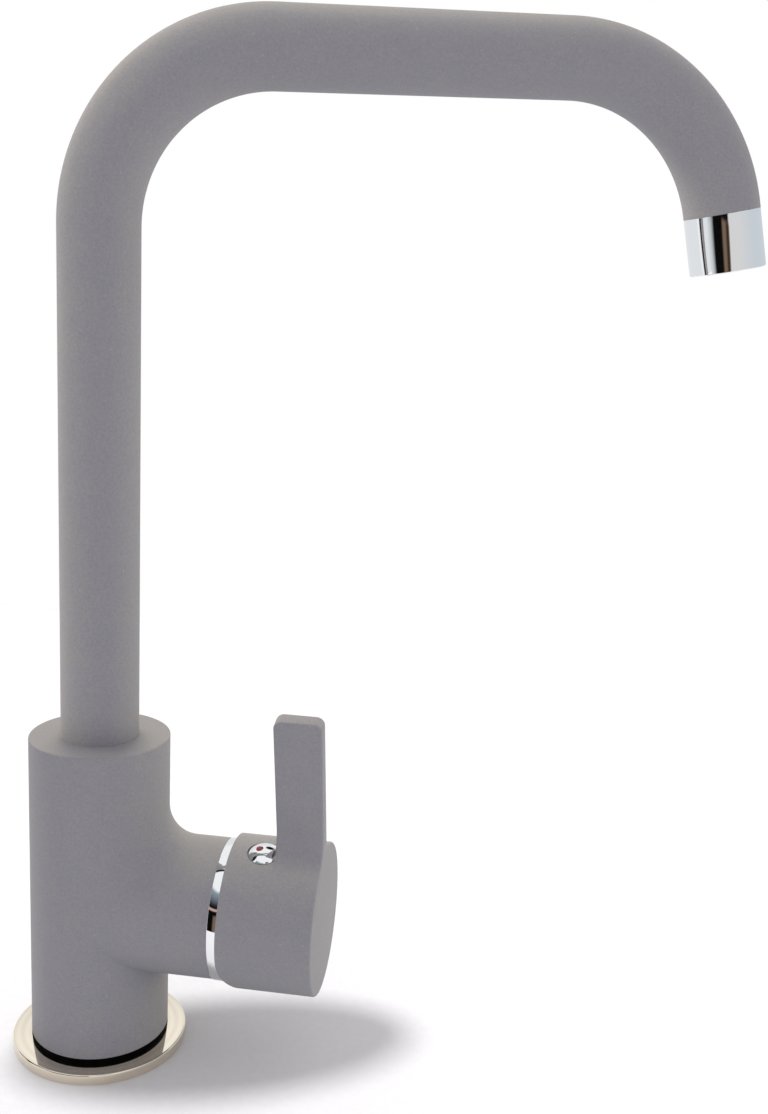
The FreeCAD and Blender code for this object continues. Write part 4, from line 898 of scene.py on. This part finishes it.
floor_only = linked("floor_only", [floor], "INCLUDE")
all_but_floor = linked("all_but_floor", [floor, flag], "EXCLUDE")
only_flag = linked("only_flag", [flag], "INCLUDE")
all_but_lever = linked("all_but_lever", [floor, flag, lever], "EXCLUDE")
all_but_tall = linked("all_but_tall", [floor, flag, tube, lever], "EXCLUDE")
only_tube = linked("only_tube", [tube], "INCLUDE")
soft_sun("floor_sun", beam, 2.9, 0.7, "#ffffff", floor_only, only_flag)
soft_sun("behind_above", (-0.2, 0.62, 1.0), 2.4, 30, "#fff3d0", all_but_floor, all_but_lever)
soft_sun("side_right", (1.0, 0.7, 0.15), 1.2, 30, "#fff0c8", all_but_floor, all_but_tall)
soft_sun("side_left", (-1.0, 0.55, 0.3), 2.0, 30, "#fff0e0", all_but_floor, all_but_tall)
soft_sun("left_above", (-0.7, -0.1, 0.9), 2.1, 30, "#fff4d2", only_tube, all_but_tall)
print("lamps:", len(bpy.data.lights))

# %% [markdown]
# ## What the mirrors see
# Polished metal shows the room, so the room is painted on the world, for mirror rays only. In
# the photograph the chrome sees pale walls, cooler on the right, and behind the camera to the
# left a dark opening with a brown edge, under a grey canopy. A thin dark seam lies further left
# and another overhead. Each area is a mask between two limits of one value and two of another:
# the three numbers are the low limit, the high limit and how soft they are. A chain of mixes
# lays the areas over white. Three dark round patches, each with the angles from its middle at
# which it is full and gone, are what the domed button shows at its rim.

# %% Painted studio
world = bpy.data.worlds.new("white_studio")
bpy.context.scene.world = world
world.use_nodes = True
tree = world.node_tree
tree.nodes.clear()
way = add_node(tree, "ShaderNodeTexCoord").outputs["Generated"]
parts = add_node(tree, "ShaderNodeSeparateXYZ", links={"Vector": way})
level, depth = parts.outputs["Z"], parts.outputs["Y"]
toward = add_node(tree, "ShaderNodeMath", {"operation": "MULTIPLY", 1: -1.0}, {0: depth})
bearing = add_node(tree, "ShaderNodeMath", {"operation": "ARCTAN2"},
                   {0: parts.outputs["X"], 1: toward.outputs[0]})
degrees = add_node(tree, "ShaderNodeMath", {"operation": "DEGREES"}, {0: bearing.outputs[0]})
turned = degrees.outputs[0]
painted_areas = [
    ("cool wall on the right", turned, (-5, 172, 3), level, (-0.8, 0.72, 0.06), "#d4dae0"),
    ("warm end of that wall", turned, (-20, 60, 25), level, (-0.8, 0.72, 0.06), "#e2e0df"),
    ("pale wall on the left", turned, (-179, -51, 2), level, (-0.8, 0.5, 0.06), "#eeeff0"),
    ("grey canopy", turned, (-51, 5, 1.0), level, (0.2, 0.76, 0.03), "#8d9aa3"),
    ("its darker low part", turned, (-51, 5, 1.0), level, (0.2, 0.60, 0.12), "#2b2e33"),
    ("grey beside the opening", turned, (-50, -30, 7), level, (-0.8, 0.39, 0.02), "#aeb4b5"),
    ("dark opening", turned, (-40, 5, 3.3), level, (-0.8, 0.45, 0.02), "#0b0a0a"),
    ("brown edge of the opening", turned, (-12.5, 6, 2.5), level, (-0.8, 0.22, 0.03), "#7c6757"),
    ("darker end of the brown", turned, (-2, 6, 2.5), level, (-0.8, 0.22, 0.03), "#3e2e22"),
    ("pink lintel", turned, (-51, 5, 1.0), level, (0.335, 0.395, 0.015), "#c9a79d"),
    ("seam on the left", turned, (-81, -73.5, 0.4), level, (-0.8, 0.5, 0.02), "#0a0a0c"),
    ("bright line by the seam", turned, (-88.5, -83.5, 0.4), level, (-0.8, 0.5, 0.02), "#ffffff"),
    ("seam overhead", depth, (-0.075, -0.005, 0.006), level, (0.5, 1.2, 0.02), "#0a0a0c"),
]
picture = add_node(tree, "ShaderNodeRGB").outputs[0]
picture.default_value = linear("#ffffff")
for meaning, across, width, upward, height, colour in painted_areas:
    mask = None
    for value, (low, high, soft) in ((across, width), (upward, height)):
        rise = add_node(tree, "ShaderNodeMapRange",
                        {"From Min": low - soft, "From Max": low + soft}, {"Value": value})
        fall = add_node(tree, "ShaderNodeMapRange",
                        {"From Min": high - soft, "From Max": high + soft,
                         "To Min": 1.0, "To Max": 0.0}, {"Value": value})
        inside = add_node(tree, "ShaderNodeMath", {"operation": "MULTIPLY"},
                          {0: rise.outputs["Result"], 1: fall.outputs["Result"]})
        if mask:
            inside = add_node(tree, "ShaderNodeMath", {"operation": "MULTIPLY"},
                              {0: mask.outputs[0], 1: inside.outputs[0]})
        mask = inside
    layer = add_node(tree, "ShaderNodeMix", {"data_type": "RGBA", 7: linear(colour)},
                     {"Factor": mask.outputs[0], 6: picture})
    layer.label = meaning
    picture = layer.outputs[2]
dark_patches = [((-0.76, 0.02, 0.65), 18, 22), ((0.06, 0.73, 0.68), 9, 13),
                ((0.3, -0.62, 0.72), 8, 12)]
for direction, inner, outer in dark_patches:
    facing = add_node(tree, "ShaderNodeVectorMath", {"operation": "DOT_PRODUCT", 1: direction},
                      {0: way})
    spot = add_node(tree, "ShaderNodeMapRange", {"From Min": math.cos(math.radians(outer)),
                                                 "From Max": math.cos(math.radians(inner))},
                    {"Value": facing.outputs["Value"]})
    patched = add_node(tree, "ShaderNodeMix", {"data_type": "RGBA", 7: linear("#141416")},
                       {"Factor": spot.outputs["Result"], 6: picture})
    picture = patched.outputs[2]
rays = add_node(tree, "ShaderNodeLightPath")
mirrored = add_node(tree, "ShaderNodeBackground", {"Strength": 1.0}, {"Color": picture})
filling = add_node(tree, "ShaderNodeBackground", {"Color": linear("#fffbff"), "Strength": 1.0})
backdrop = add_node(tree, "ShaderNodeBackground", {"Color": linear("#ffffff"), "Strength": 1.0})
lit = add_node(tree, "ShaderNodeMixShader", links={"Fac": rays.outputs["Is Glossy Ray"],
                                                   1: filling.outputs[0], 2: mirrored.outputs[0]})
seen = add_node(tree, "ShaderNodeMixShader", links={"Fac": rays.outputs["Is Camera Ray"],
                                                    1: lit.outputs[0], 2: backdrop.outputs[0]})
add_node(tree, "ShaderNodeOutputWorld", links={"Surface": seen.outputs[0]})
bpy.context.scene.view_settings.view_transform = "Standard"
print("painted areas:", len(painted_areas), "dark patches:", len(dark_patches))

# %% [markdown]
# ## The camera
# The photograph was taken from the front, a little to the right of the post and well above the
# deck, with a moderately wide lens close by, which is why the spout seems to lean. The camera's
# place and lens were fitted to the outline of the faucet.

# %% Camera
eye = Vector((151.3, -395.7, 273.0)) * MM
yaw, pitch, roll = math.radians(-7.36), math.radians(11.44), math.radians(2.62)
forward = Vector((math.sin(yaw) * math.cos(pitch), math.cos(yaw) * math.cos(pitch),
                  -math.sin(pitch)))
level_right = forward.cross(UP).normalized()
level_up = level_right.cross(forward).normalized()
right = level_right * math.cos(roll) + level_up * math.sin(roll)
up = level_up * math.cos(roll) - level_right * math.sin(roll)
lens = bpy.data.cameras.new("photo_view")
lens.sensor_width = 36.0
focal_pixels, picture_pixels = 1203.0, 1114.0
lens.lens = focal_pixels / picture_pixels * lens.sensor_width
lens.clip_start = 0.01
viewer = bpy.data.objects.new("photo_view", lens)
bpy.context.scene.collection.objects.link(viewer)
aim = Matrix((right, up, -forward)).transposed().to_4x4()
viewer.matrix_world = Matrix.Translation(eye) @ aim
bpy.context.scene.camera = viewer
print("camera at", [round(v, 3) for v in eye])
